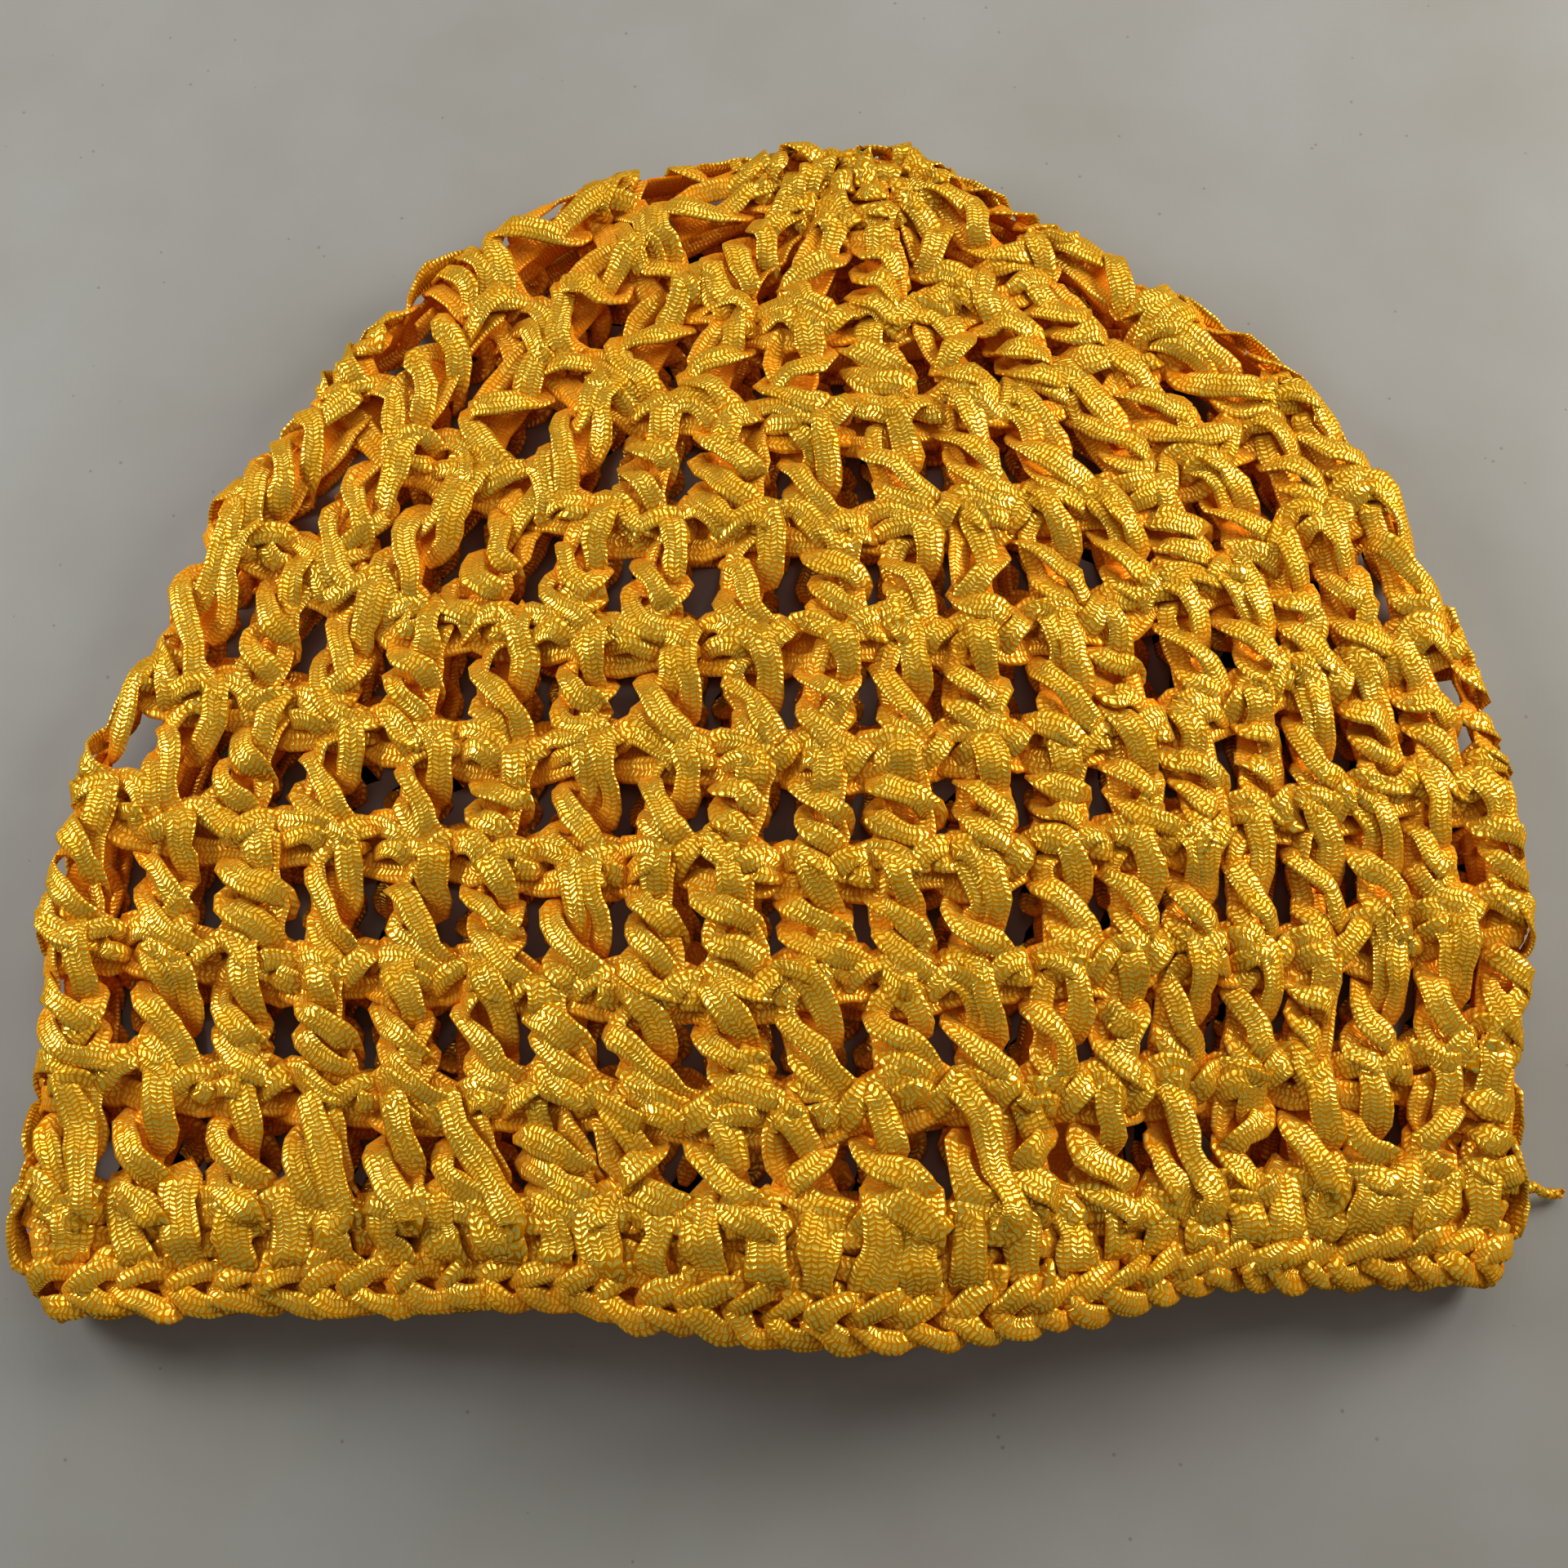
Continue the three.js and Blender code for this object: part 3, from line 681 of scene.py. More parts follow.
def draw_ribbon(tree, strands, given, result):
    """Ends a tree with a ribbon drawn along its strands."""
    skin = tree.nodes.new("GeometryNodeGroup")
    skin.node_tree = shared_tree("Flat ribbon yarn", ribbon_tree)
    tree.links.new(strands, skin.inputs["Strands"])
    for label, _ in RIBBON_SIZES:
        tree.links.new(given.outputs[label], skin.inputs[label])
    finish_tree(tree, skin.outputs[0], given, result)


RIBBON_SIZES = [
    ("Width Factor", "NodeSocketFloat"),
    ("Thickness Factor", "NodeSocketFloat"),
    ("Twist", "NodeSocketFloat"),
    ("Bend", "NodeSocketFloat"),
    ("Floor", "NodeSocketFloat"),
    ("Yarn", "NodeSocketMaterial"),
]
RIBBON_INPUTS = [("Strands", "NodeSocketGeometry"), *RIBBON_SIZES]

# How many of the ribbon's bends, pinches and twists come in a metre
BEND_NOISE = 210.0
PINCH_NOISE = 170.0
TWIST_NOISE = 90.0

# At the first height off the cloth's middle, in metres, a strand starts to count as one of the
# outermost, and at the second it fully does
OUTERMOST = (-0.0004, 0.0012)

# The share of its width that a ribbon has at its very ends, and the least and the most on its way
END_FULLNESS = 0.4
WAY_FULLNESS = (0.78, 1.30)

# A ribbon's greatest width where the cloth lies flat, how much less it is where the cloth stands
# upright at a fold, and the share of its own width that it loses there
WIDEST = 0.0142
WIDEST_LOSS = 0.0108
FOLD_LOSS = 0.12

# The section is a circle of so many corners, squared off across the ribbon by the power. It stands
# out by this share of the ribbon's thickness on either side
SECTION_CORNERS = 8
SECTION_POWER = 0.3
HALF_THICKNESS = 0.54


def ribbon_tree():
    """Draws a flat ribbon with rounded edges along curves that carry its width, thickness and side."""
    tree, given, result = new_tree("Flat ribbon yarn", RIBBON_INPUTS)
    position = made(tree, "GeometryNodeInputPosition")
    own_place = vectors(tree, "ADD", position, named(tree, "strand_chance"))
    bends = centred(tree, noise_vector(tree, own_place, BEND_NOISE), given.outputs["Bend"])
    strands = made(tree, "GeometryNodeSetPosition", {"Geometry": given.outputs["Strands"], "Offset": bends})
    tangent = made(tree, "GeometryNodeInputTangent")
    side = named(tree, "ribbon_side", "FLOAT_VECTOR")
    face = vectors(tree, "NORMALIZE", vectors(tree, "CROSS_PRODUCT", side, tangent))

    # At the folds the outermost ribbons turn part of their broad face up
    steepness = sums(tree, "SUBTRACT", 1.0, sums(tree, "ABSOLUTE", split(tree, face)[2]))
    outermost = ranged(tree, named(tree, "standing"), *OUTERMOST)
    upwards = joined(tree, z=product(tree, steepness, outermost))
    face = vectors(tree, "NORMALIZE", vectors(tree, "ADD", face, upwards))
    flat_side = vectors(tree, "NORMALIZE", vectors(tree, "CROSS_PRODUCT", tangent, face))

    # The ribbon is narrower at its ends and at the folds, and is pinched here and there
    along = open_socket(add_node(tree, "GeometryNodeSplineParameter").outputs, "Length")
    whole_length = open_socket(add_node(tree, "GeometryNodeSplineLength").outputs, "Length")
    from_end = sums(tree, "MINIMUM", along, sums(tree, "SUBTRACT", whole_length, along))
    fullness = ranged(tree, from_end, 0.0, RIBBON_TAPER * MM, to_low=END_FULLNESS)
    pinch = ranged(tree, noise(tree, own_place, PINCH_NOISE), 0.3, 0.7, *WAY_FULLNESS)
    fullness = product(tree, fullness, pinch, sums(tree, "MULTIPLY_ADD", steepness, -FOLD_LOSS, 1.0))
    widest = sums(tree, "MULTIPLY_ADD", steepness, -WIDEST_LOSS, WIDEST)
    width = sums(tree, "MINIMUM", named(tree, "ribbon_width"), widest)

    # It twists a little to and fro
    turns = sums(tree, "MULTIPLY_ADD", noise(tree, own_place, TWIST_NOISE), 2.0, -1.0)
    turn = product(tree, turns, given.outputs["Twist"])
    level, steep = sums(tree, "COSINE", turn), sums(tree, "SINE", turn)
    turned_side = vectors(tree, "ADD", scaled(tree, flat_side, level), scaled(tree, face, steep))
    turned_face = vectors(tree, "SUBTRACT", scaled(tree, face, level), scaled(tree, flat_side, steep))
    for name, value in {"centre": position, "face": turned_face, "flat_side": turned_side}.items():
        strands = stored(tree, strands, name, "FLOAT_VECTOR", value)
    for name, value in {"travelled": along, "fullness": fullness, "ribbon_width": width}.items():
        strands = stored(tree, strands, name, "FLOAT", value)

    # Each point of the swept circle keeps its place in the section and then moves to the ribbon's own
    profile = made(tree, "GeometryNodeCurvePrimitiveCircle", {"Resolution": SECTION_CORNERS, "Radius": 1.0})
    half_corner = (0, 0, math.pi / SECTION_CORNERS)
    profile = made(tree, "GeometryNodeTransform", {"Geometry": profile, "Rotation": half_corner})
    profile = stored(tree, profile, "section", "FLOAT_VECTOR", position)
    sweep = {"Curve": strands, "Profile Curve": profile, "Fill Caps": True}
    skin = made(tree, "GeometryNodeCurveToMesh", sweep)
    wide, deep, _ = split(tree, named(tree, "section", "FLOAT_VECTOR"))
    flatter = sums(tree, "POWER", sums(tree, "ABSOLUTE", wide), SECTION_POWER)
    wide = product(tree, sums(tree, "SIGN", wide), flatter)
    half_width = product(tree, named(tree, "ribbon_width"), 0.5, given.outputs["Width Factor"])
    half_width = product(tree, half_width, named(tree, "fullness"))
    half_thick = product(tree, named(tree, "ribbon_thickness"), HALF_THICKNESS)
    half_thick = product(tree, half_thick, given.outputs["Thickness Factor"])
    across = product(tree, wide, half_width)
    out = product(tree, deep, half_thick)
    sideways = scaled(tree, named(tree, "flat_side", "FLOAT_VECTOR"), across)
    outwards = scaled(tree, named(tree, "face", "FLOAT_VECTOR"), out)
    moved = vectors(tree, "ADD", sideways, outwards)
    x, y, z = split(tree, vectors(tree, "ADD", named(tree, "centre", "FLOAT_VECTOR"), moved))
    placed = joined(tree, x, y, sums(tree, "MAXIMUM", z, given.outputs["Floor"]))

    knit = joined(tree, across, named(tree, "travelled"), named(tree, "strand_chance"))
    skin = stored(tree, skin, "knit", "FLOAT_VECTOR", knit)
    skin = made(tree, "GeometryNodeSetPosition", {"Geometry": skin, "Position": placed})
    skin = made(tree, "GeometryNodeSetShadeSmooth", {"Geometry": skin, "Shade Smooth": True})
    spares = ["fullness", "centre", "face", "flat_side", "travelled", "section", "strand_chance", "stitch"]
    for spare in spares + ["ribbon_side", "ribbon_width", "ribbon_thickness"]:
        skin = made(tree, "GeometryNodeRemoveAttribute", {"Geometry": skin, "Name": spare})
    finish_tree(tree, skin, given, result)
    return tree


ROUND_INPUTS = [
    ("Cloth", "NodeSocketGeometry"),
    ("Stitch Shapes", "NodeSocketCollection"),
    ("Stitches", "NodeSocketInt"),
    ("Shift", "NodeSocketFloat"),
    ("Unevenness", "NodeSocketFloat"),
    ("Smoothness", "NodeSocketInt"),
    ("Seed", "NodeSocketInt"),
    *RIBBON_SIZES,
]

# The lowest and highest stray of a whole stitch and of one point: across in shares of a stitch,
# down in shares of the ring's height, out of the cloth in metres
STITCH_STRAY = ((-0.11, -0.05, -0.0003), (0.11, 0.05, 0.0005))
POINT_STRAY = ((-0.05, -0.03, -0.0004), (0.05, 0.03, 0.0005))

# The share of its standing out of the cloth that a strand keeps where the cloth stands upright
FOLD_STANDING = 0.55


def round_tree():
    """Lays stitch shapes round a ring, bends them onto its cloth surface and draws the ribbon."""
    tree, given, result = new_tree("Crocheted ring", ROUND_INPUTS)
    count = given.outputs["Stitches"]
    seed = given.outputs["Seed"]
    index = made(tree, "GeometryNodeInputIndex")
    position = made(tree, "GeometryNodeInputPosition")

    # One point for each stitch, with a stitch shape on it
    line = {"Count": count, "Start Location": joined(tree, given.outputs["Shift"]), "Offset": (1, 0, 0)}
    row = made(tree, "GeometryNodeMeshLine", line, mode="OFFSET")
    row = stored(tree, row, "stitch", "INT", index)
    stitch_shapes = given.outputs["Stitch Shapes"]
    children = {"Collection": stitch_shapes, "Separate Children": True, "Reset Children": True}
    shapes = made(tree, "GeometryNodeCollectionInfo", children)
    choice = chance(tree, 0, 1000, index, seed, "INT")
    picked = {"Points": row, "Instance": shapes, "Pick Instance": True, "Instance Index": choice}
    strands = made(tree, "GeometryNodeInstanceOnPoints", picked)
    strands = made(tree, "GeometryNodeRealizeInstances", {"Geometry": strands})
    strands = made(tree, "GeometryNodeMeshToCurve", {"Mesh": strands})
    strand_chance = chance(tree, 0.0, 1.0, index, seed)
    strands = stored(tree, strands, "strand_chance", "FLOAT", strand_chance, "CURVE")

    # Uneven tension: each stitch and each of its points strays a little
    stitch = named(tree, "stitch", "INT")
    stitch_stray = chance(tree, *STITCH_STRAY, stitch, sums(tree, "ADD", seed, 17), "FLOAT_VECTOR")
    point_stray = chance(tree, *POINT_STRAY, index, sums(tree, "ADD", seed, 31), "FLOAT_VECTOR")
    offset = scaled(tree, vectors(tree, "ADD", stitch_stray, point_stray), given.outputs["Unevenness"])
    strands = made(tree, "GeometryNodeSetPosition", {"Geometry": strands, "Offset": offset})
    strands = made(tree, "GeometryNodeCurveSplineType", {"Curve": strands}, spline_type="CATMULL_ROM")
    smooth = {"Geometry": strands, "Resolution": given.outputs["Smoothness"]}
    strands = made(tree, "GeometryNodeSetSplineResolution", smooth)
    strands = made(tree, "GeometryNodeResampleCurve", {"Curve": strands}, mode="EVALUATED")

    # From the space of one stitch to the cloth, whose place runs from 0 to 1 round it and down it
    across, down, standing = split(tree, position)
    share = sums(tree, "FRACT", sums(tree, "DIVIDE", across, count))
    whole_down = 1 + 2 * OVERRUN
    down = sums(tree, "MULTIPLY_ADD", down, 1 / whole_down, OVERRUN / whole_down)
    place = joined(tree, share, down)

    def on_cloth(value):
        inputs = {
            "Mesh": given.outputs["Cloth"],
            "Value": value,
            "UV Map": named(tree, "place", "FLOAT_VECTOR"),
            "Sample UV": place,
        }
        return made(tree, "GeometryNodeSampleUVSurface", inputs, data_type="FLOAT_VECTOR")

    cloth_place = on_cloth(position)
    along = vectors(tree, "NORMALIZE", on_cloth(named(tree, "along_ring", "FLOAT_VECTOR")))
    out = vectors(tree, "NORMALIZE", on_cloth(named(tree, "out_of_cloth", "FLOAT_VECTOR")))
    towards_hem = vectors(tree, "CROSS_PRODUCT", along, out)
    side_along, side_down, side_out = split(tree, named(tree, "ribbon_side", "FLOAT_VECTOR"))
    in_cloth = vectors(tree, "ADD", scaled(tree, along, side_along), scaled(tree, towards_hem, side_down))
    side = vectors(tree, "ADD", in_cloth, scaled(tree, out, side_out))
    strands = stored(tree, strands, "ribbon_side", "FLOAT_VECTOR", side)
    strands = stored(tree, strands, "standing", "FLOAT", standing)
    flatness = sums(tree, "ABSOLUTE", split(tree, out)[2])
    kept = sums(tree, "MULTIPLY_ADD", flatness, 1 - FOLD_STANDING, FOLD_STANDING)
    moved = vectors(tree, "ADD", cloth_place, scaled(tree, out, product(tree, standing, kept)))
    strands = made(tree, "GeometryNodeSetPosition", {"Geometry": strands, "Position": moved})
    draw_ribbon(tree, strands, given, result)
    return tree


def end_tree():
    """Turns a path of edges into curves for the ribbon to follow."""
    tree, given, result = new_tree("Loose yarn end", RIBBON_INPUTS)
    curves = made(tree, "GeometryNodeMeshToCurve", {"Mesh": given.outputs["Strands"]})
    curves = stored(tree, curves, "standing", "FLOAT", LOW_Z * MM)
    draw_ribbon(tree, curves, given, result)
    return tree


def shared_tree(name, make):
    """The tree of that name, made the first time that it is asked for."""
    return bpy.data.node_groups.get(name) or make()


def shape_collection(name, shapes):
    """A collection of stitch shapes for a tree to pick from."""
    collection = bpy.data.collections.get(name)
    if collection is None:
        collection = bpy.data.collections.new(name)
        for key, strands in shapes.items():
            collection.objects.link(stitch_shape(key, strands))
    return collection


def grown(name, node, mesh, tree, values):
    """Runs a tree on a mesh and puts the result, as a plain object, in place of a node's solid."""
    sizes = bpy.context.scene.hair_net_sizes
    values = {
        "Width Factor": sizes.width_factor,
        "Thickness Factor": sizes.thickness_factor,
        "Twist": sizes.twist,
        "Bend": sizes.bend,
        "Floor": 0.0,
        "Yarn": yarn_material(),
        **values,
    }
    holder = bpy.data.objects.new(name + "_path", mesh)
    bpy.context.scene.collection.objects.link(holder)
    modifier = holder.modifiers.new("yarn", "NODES")
    modifier.node_group = tree
    for item in tree.interface.items_tree:
        if item.in_out == "INPUT" and item.name in values:
            modifier[item.identifier] = values[item.name]
    depsgraph = bpy.context.evaluated_depsgraph_get()
    result = bpy.data.meshes.new_from_object(holder.evaluated_get(depsgraph), depsgraph=depsgraph)
    result.name = name
    bpy.data.objects.remove(holder)
    bpy.data.meshes.remove(mesh)
    if not result.polygons:
        raise RuntimeError(f"{name} came out empty")
    piece = bpy.data.objects.new(name, result)
    bpy.context.scene.collection.objects.link(piece)
    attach(piece, "root")
    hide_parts(node)


def crochet_ring(node, top_level, bottom_level, shapes, stitches, seed):
    """Crochets one ring of the cap, between two of its lines, in place of its plain solid."""
    sizes = bpy.context.scene.hair_net_sizes
    name = "yarn_" + node
    values = {
        "Stitch Shapes": shapes,
        "Stitches": stitches,
        # Stitches of the upper and the lower layer lie over each other
        "Shift": 0.25 if stitches % 2 else 0.5,
        "Unevenness": sizes.unevenness,
        "Smoothness": sizes.smoothness,
        "Seed": seed,
    }
    surface = cloth_surface(name + "_cloth", top_level, bottom_level)
    grown(name, node, surface, shared_tree("Crocheted ring", round_tree), values)


# The ribbon's knit: how many bends of its rows come in a metre, how far they stray in metres, how
# many rows the loops climb for a column's width, and how deep their grooves look in metres
KNIT_NOISE = 500.0
KNIT_STRAY = 0.0012
KNIT_CLIMB = 1.1
KNIT_DEPTH = 0.00005

# How many brighter spots of gloss and painted highlight on the ribbon and how many of its small wrinkles come
# in a metre
PATCH_NOISE = 240.0
WRINKLE_NOISE = 330.0

# How far a wrinkle and a loop turn the ribbon's face aside, as a share of its normal
WRINKLE_TILT = 0.45
LOOP_TILT = 0.2

# The ribbon's roughness and metal where it is dull, and what a full glint adds to each
ROUGHNESS, GLINT_ROUGHNESS = 0.36, -0.12
METAL, GLINT_METAL = 0.03, 1.05
SHEEN_TINT = (1.0, 0.84, 0.3, 1)

# At the first height off the cloth's middle, in metres, a strand is in the shade, and at the second
# in full light
SHADED_TO_LIT = (-0.0006, 0.0026)


def mixed(tree, factor, first, second):
    """A colour between two, by a factor."""
    node = add_node(tree, "ShaderNodeMix", data_type="RGBA")
    tree.links.new(factor, open_socket(node.inputs, "Factor"))
    for key, value in (("A", first), ("B", second)):
        socket = open_socket(node.inputs, key)
        if isinstance(value, bpy.types.NodeSocket):
            tree.links.new(value, socket)
        else:
            socket.default_value = (*value, 1)
    return open_socket(node.outputs, "Result")


def yarn_material():
    """Shiny flat ribbon, knitted in fine columns of loops, with painted shade and a painted highlight in its
    colour.
    """
    material = bpy.data.materials.get("golden ribbon yarn")
    if material:
        return material
    colours = bpy.context.scene.hair_net_colours
    sizes = bpy.context.scene.hair_net_sizes
    material = bpy.data.materials.new("golden ribbon yarn")
    material.use_nodes = True
    tree = material.node_tree
    tree.nodes.clear()

    # The knit: columns of slanted loops that mirror each other, so that each row zigzags
    knit = add_node(tree, "ShaderNodeAttribute", attribute_name="knit").outputs["Vector"]
    uneven_knit = vectors(tree, "ADD", knit, centred(tree, noise_vector(tree, knit, KNIT_NOISE), KNIT_STRAY))
    across, along, strand = split(tree, uneven_knit)
    column = sums(tree, "DIVIDE", across, sizes.knit_column)
    row = sums(tree, "DIVIDE", along, sizes.knit_row)
    zigzag = sums(tree, "PINGPONG", column, 0.5)
    slanted = sums(tree, "MULTIPLY_ADD", zigzag, KNIT_CLIMB, row)
    wave = sums(tree, "SINE", product(tree, slanted, 2 * math.pi))
    wave = sums(tree, "MULTIPLY_ADD", wave, 0.5, 0.5)
    off_middle = sums(tree, "ABSOLUTE", sums(tree, "MULTIPLY_ADD", zigzag, 4.0, -1.0))
    ridge = sums(tree, "SUBTRACT", 1.0, product(tree, off_middle, off_middle))
    height = product(tree, wave, sums(tree, "MULTIPLY_ADD", ridge, 0.9, 0.1))

    # Each loop catches the light differently, as does the ribbon from spot to spot; the glint is real gloss
    # and a painted highlight
    half_columns = sums(tree, "FLOOR", product(tree, column, 2.0))
    loops = sums(tree, "FLOOR", sums(tree, "ADD", slanted, 0.25))
    loop = {"Vector": joined(tree, half_columns, loops, strand)}
    sparkle, toss = add_node(tree, "ShaderNodeTexWhiteNoise", loop, noise_dimensions="3D").outputs
    place = add_node(tree, "ShaderNodeTexCoord").outputs["Object"]
    gloss_and_painted_light_patches = ranged(tree, noise(tree, place, PATCH_NOISE, 2.0), 0.36, 0.58, 0.5, 1.15)
    on_loop = ranged(tree, height, 0.25, 0.50, interpolation_type="SMOOTHSTEP")
    gloss_and_painted_glint = product(tree, on_loop, sums(tree, "MULTIPLY_ADD", sparkle, 0.6, 0.5), gloss_and_painted_light_patches)

    # Where the ribbon dives under its neighbours it is painted deep orange as shade, and its painted
    # highlight is fainter
    standing = add_node(tree, "ShaderNodeAttribute", attribute_name="standing").outputs["Fac"]
    painted_lit_share = ranged(tree, standing, *SHADED_TO_LIT)
    gloss_and_painted_glint = product(tree, gloss_and_painted_glint, sums(tree, "MULTIPLY_ADD", painted_lit_share, 0.6, 0.4))
    colour = mixed(tree, product(tree, sparkle, 0.5), colours.body, colours.deep)
    # Painted shade in the grooves between the loops
    colour = mixed(tree, on_loop, colours.painted_groove_shade, colour)
    colour = mixed(tree, painted_lit_share, colours.painted_hollow_shade, colour)
    # Painted highlight: the glinting loops take the pale glint colour, besides their real metallic gloss
    colour = mixed(tree, gloss_and_painted_glint, colour, colours.gloss_and_painted_glint)

    # The loops and the ribbon's small wrinkles turn its face to and fro
    facing = add_node(tree, "ShaderNodeNewGeometry").outputs["Normal"]
    facing = vectors(tree, "ADD", facing, centred(tree, toss, LOOP_TILT))
    wrinkles = centred(tree, noise_vector(tree, place, WRINKLE_NOISE), WRINKLE_TILT)
    facing = vectors(tree, "ADD", facing, wrinkles)
    bump = {"Distance": KNIT_DEPTH, "Height": height, "Normal": vectors(tree, "NORMALIZE", facing)}
    surface = {
        "Base Color": colour,
        "Roughness": sums(tree, "MULTIPLY_ADD", gloss_and_painted_glint, GLINT_ROUGHNESS, ROUGHNESS),
        "Metallic": sums(tree, "MULTIPLY_ADD", gloss_and_painted_glint, GLINT_METAL, METAL),
        "Specular IOR Level": 0.0,
        "Specular Tint": SHEEN_TINT,
        "Normal": made(tree, "ShaderNodeBump", bump),
    }
    add_node(tree, "ShaderNodeOutputMaterial", {0: made(tree, "ShaderNodeBsdfPrincipled", surface)})
    return material


class HairNetSizes(bpy.types.PropertyGroup):
    """Sizes of the yarn and of its knit."""

    width_factor: bpy.props.FloatProperty(
        name="Ribbon width",
        description="Factor on the width of every ribbon",
        default=1.0,
        min=0.5,
        max=1.5,
    )
    thickness_factor: bpy.props.FloatProperty(
        name="Ribbon thickness",
        description="Factor on the thickness of every ribbon",
        default=0.8,
        min=0.5,
        max=2,
    )
    twist: bpy.props.FloatProperty(
        name="Twist",
        description="How far the ribbon turns to and fro on its way",
        default=math.radians(50),
        subtype="ANGLE",
    )
    bend: bpy.props.FloatProperty(
        name="Bend",
        description="How far the ribbon strays to and fro on its way",
        default=0.0016,
        subtype="DISTANCE",
        unit="LENGTH",
    )
    unevenness: bpy.props.FloatProperty(
        name="Unevenness",
        description="How far the stitches stray from an even net",
        default=0.6,
        min=0,
        max=3,
    )
    smoothness: bpy.props.IntProperty(
        name="Smoothness",
        description="Steps of ribbon between two points of a strand",
        default=2,
        min=1,
        max=6,
    )
    knit_column: bpy.props.FloatProperty(
        name="Knit column",
        description="Width of one column of loops in the ribbon",
        default=0.0022,
        subtype="DISTANCE",
        unit="LENGTH",
    )
    knit_row: bpy.props.FloatProperty(
        name="Knit row",
        description="Height of one row of loops in the ribbon",
        default=0.00074,
        subtype="DISTANCE",
        unit="LENGTH",
    )


class HairNetColours(bpy.types.PropertyGroup):
    """Colours of the yarn, of its painted shade and highlight, and of the tile under it."""

    body: bpy.props.FloatVectorProperty(
        name="Yarn", description="Main colour of the ribbon", subtype="COLOR", default=(0.90, 0.44, 0.003)
    )
    deep: bpy.props.FloatVectorProperty(
        name="Deeper loops",
        description="Colour of its deeper loops",
        subtype="COLOR",
        default=(0.88, 0.34, 0.0012),
    )
    # Painted shade where the ribbon dives under its neighbours
    painted_hollow_shade: bpy.props.FloatVectorProperty(
        name="Hollows",
        description="Colour where it dives under",
        subtype="COLOR",
        default=(0.92, 0.24, 0.0004),
    )
    # Painted shade between the knit's loops
    painted_groove_shade: bpy.props.FloatVectorProperty(
        name="Grooves", description="Colour between its loops", subtype="COLOR", default=(0.50, 0.19, 0.001)
    )
    # Tint of the glinting loops' gloss, also painted into their colour as a highlight
    gloss_and_painted_glint: bpy.props.FloatVectorProperty(
        name="Glints", description="Colour of its brightest loops", subtype="COLOR", default=(1.0, 0.84, 0.15)
    )
    tile: bpy.props.FloatVectorProperty(
        name="Tile", description="Colour of the floor tile", subtype="COLOR", default=(0.315, 0.313, 0.296)
    )


class HAIRNET_OT_crown(bpy.types.Operator):
    """Crochet the dense start of the work, folded over the top edge"""

    bl_idname = "hair_net.crochet_crown"
    bl_label = "Crochet the crown"

    def execute(self, context):
        shapes = shape_collection("Close stitches", CLOSE_STITCHES)
        crochet_ring("crown", -1, 0, shapes, CROWN_STITCHES, seed=3)
        return {"FINISHED"}


def shapes_of_round(number):
    """Close stitches near the crown, tall ones below, and loops that hang over the hem band."""
    if number == len(ROUND_STITCHES):
        return shape_collection("Hem loops", {**HEM_LOOPS, **CLOSE_STITCHES})
    if number <= CLOSE_ROUNDS:
        return shape_collection("Close stitches", CLOSE_STITCHES)
    if number <= MIXED_ROUNDS:
        return shape_collection("Mixed stitches", {**TALL_STITCHES, **CLOSE_STITCHES})
    return shape_collection("Tall stitches", TALL_STITCHES)


class HAIRNET_OT_rounds(bpy.types.Operator):
    """Crochet the nine openwork rounds of tall stitches"""

    bl_idname = "hair_net.crochet_rounds"
    bl_label = "Crochet the openwork rounds"

    def execute(self, context):
        for i, stitches in enumerate(ROUND_STITCHES):
            number = i + 1
            crochet_ring(f"round_{number}", i, number, shapes_of_round(number), stitches, seed=10 + i)
        return {"FINISHED"}


class HAIRNET_OT_hem_band(bpy.types.Operator):
    """Crochet the dense band of short stitches above the hem"""

    bl_idname = "hair_net.crochet_hem_band"
    bl_label = "Crochet the hem band"

    def execute(self, context):
        shapes = shape_collection("Short stitches", SHORT_STITCHES)
        crochet_ring("hem_band", BAND_LINE, EDGE_LINE, shapes, BAND_STITCHES, seed=31)
        return {"FINISHED"}


class HAIRNET_OT_edge_chain(bpy.types.Operator):
    """Crochet the plaited chain along the hem"""

    bl_idname = "hair_net.crochet_edge_chain"
    bl_label = "Crochet the edge chain"

    def execute(self, context):
        shapes = shape_collection("Chain shapes", CHAIN_SHAPES)
        crochet_ring("edge_chain", EDGE_LINE, EDGE_LINE + 1, shapes, CHAIN_LINKS, seed=41)
        return {"FINISHED"}


# The loose end is two narrow ribbons wound round each other. Its swing, widths and thickness are
# in millimetres
END_PLIES = 2
END_TURNS = 2.2
END_STEPS = 22
END_SWING = 0.42
END_WIDTH = 1.3
END_TIP_WIDTH = 0.9
END_THICKNESS = 0.9


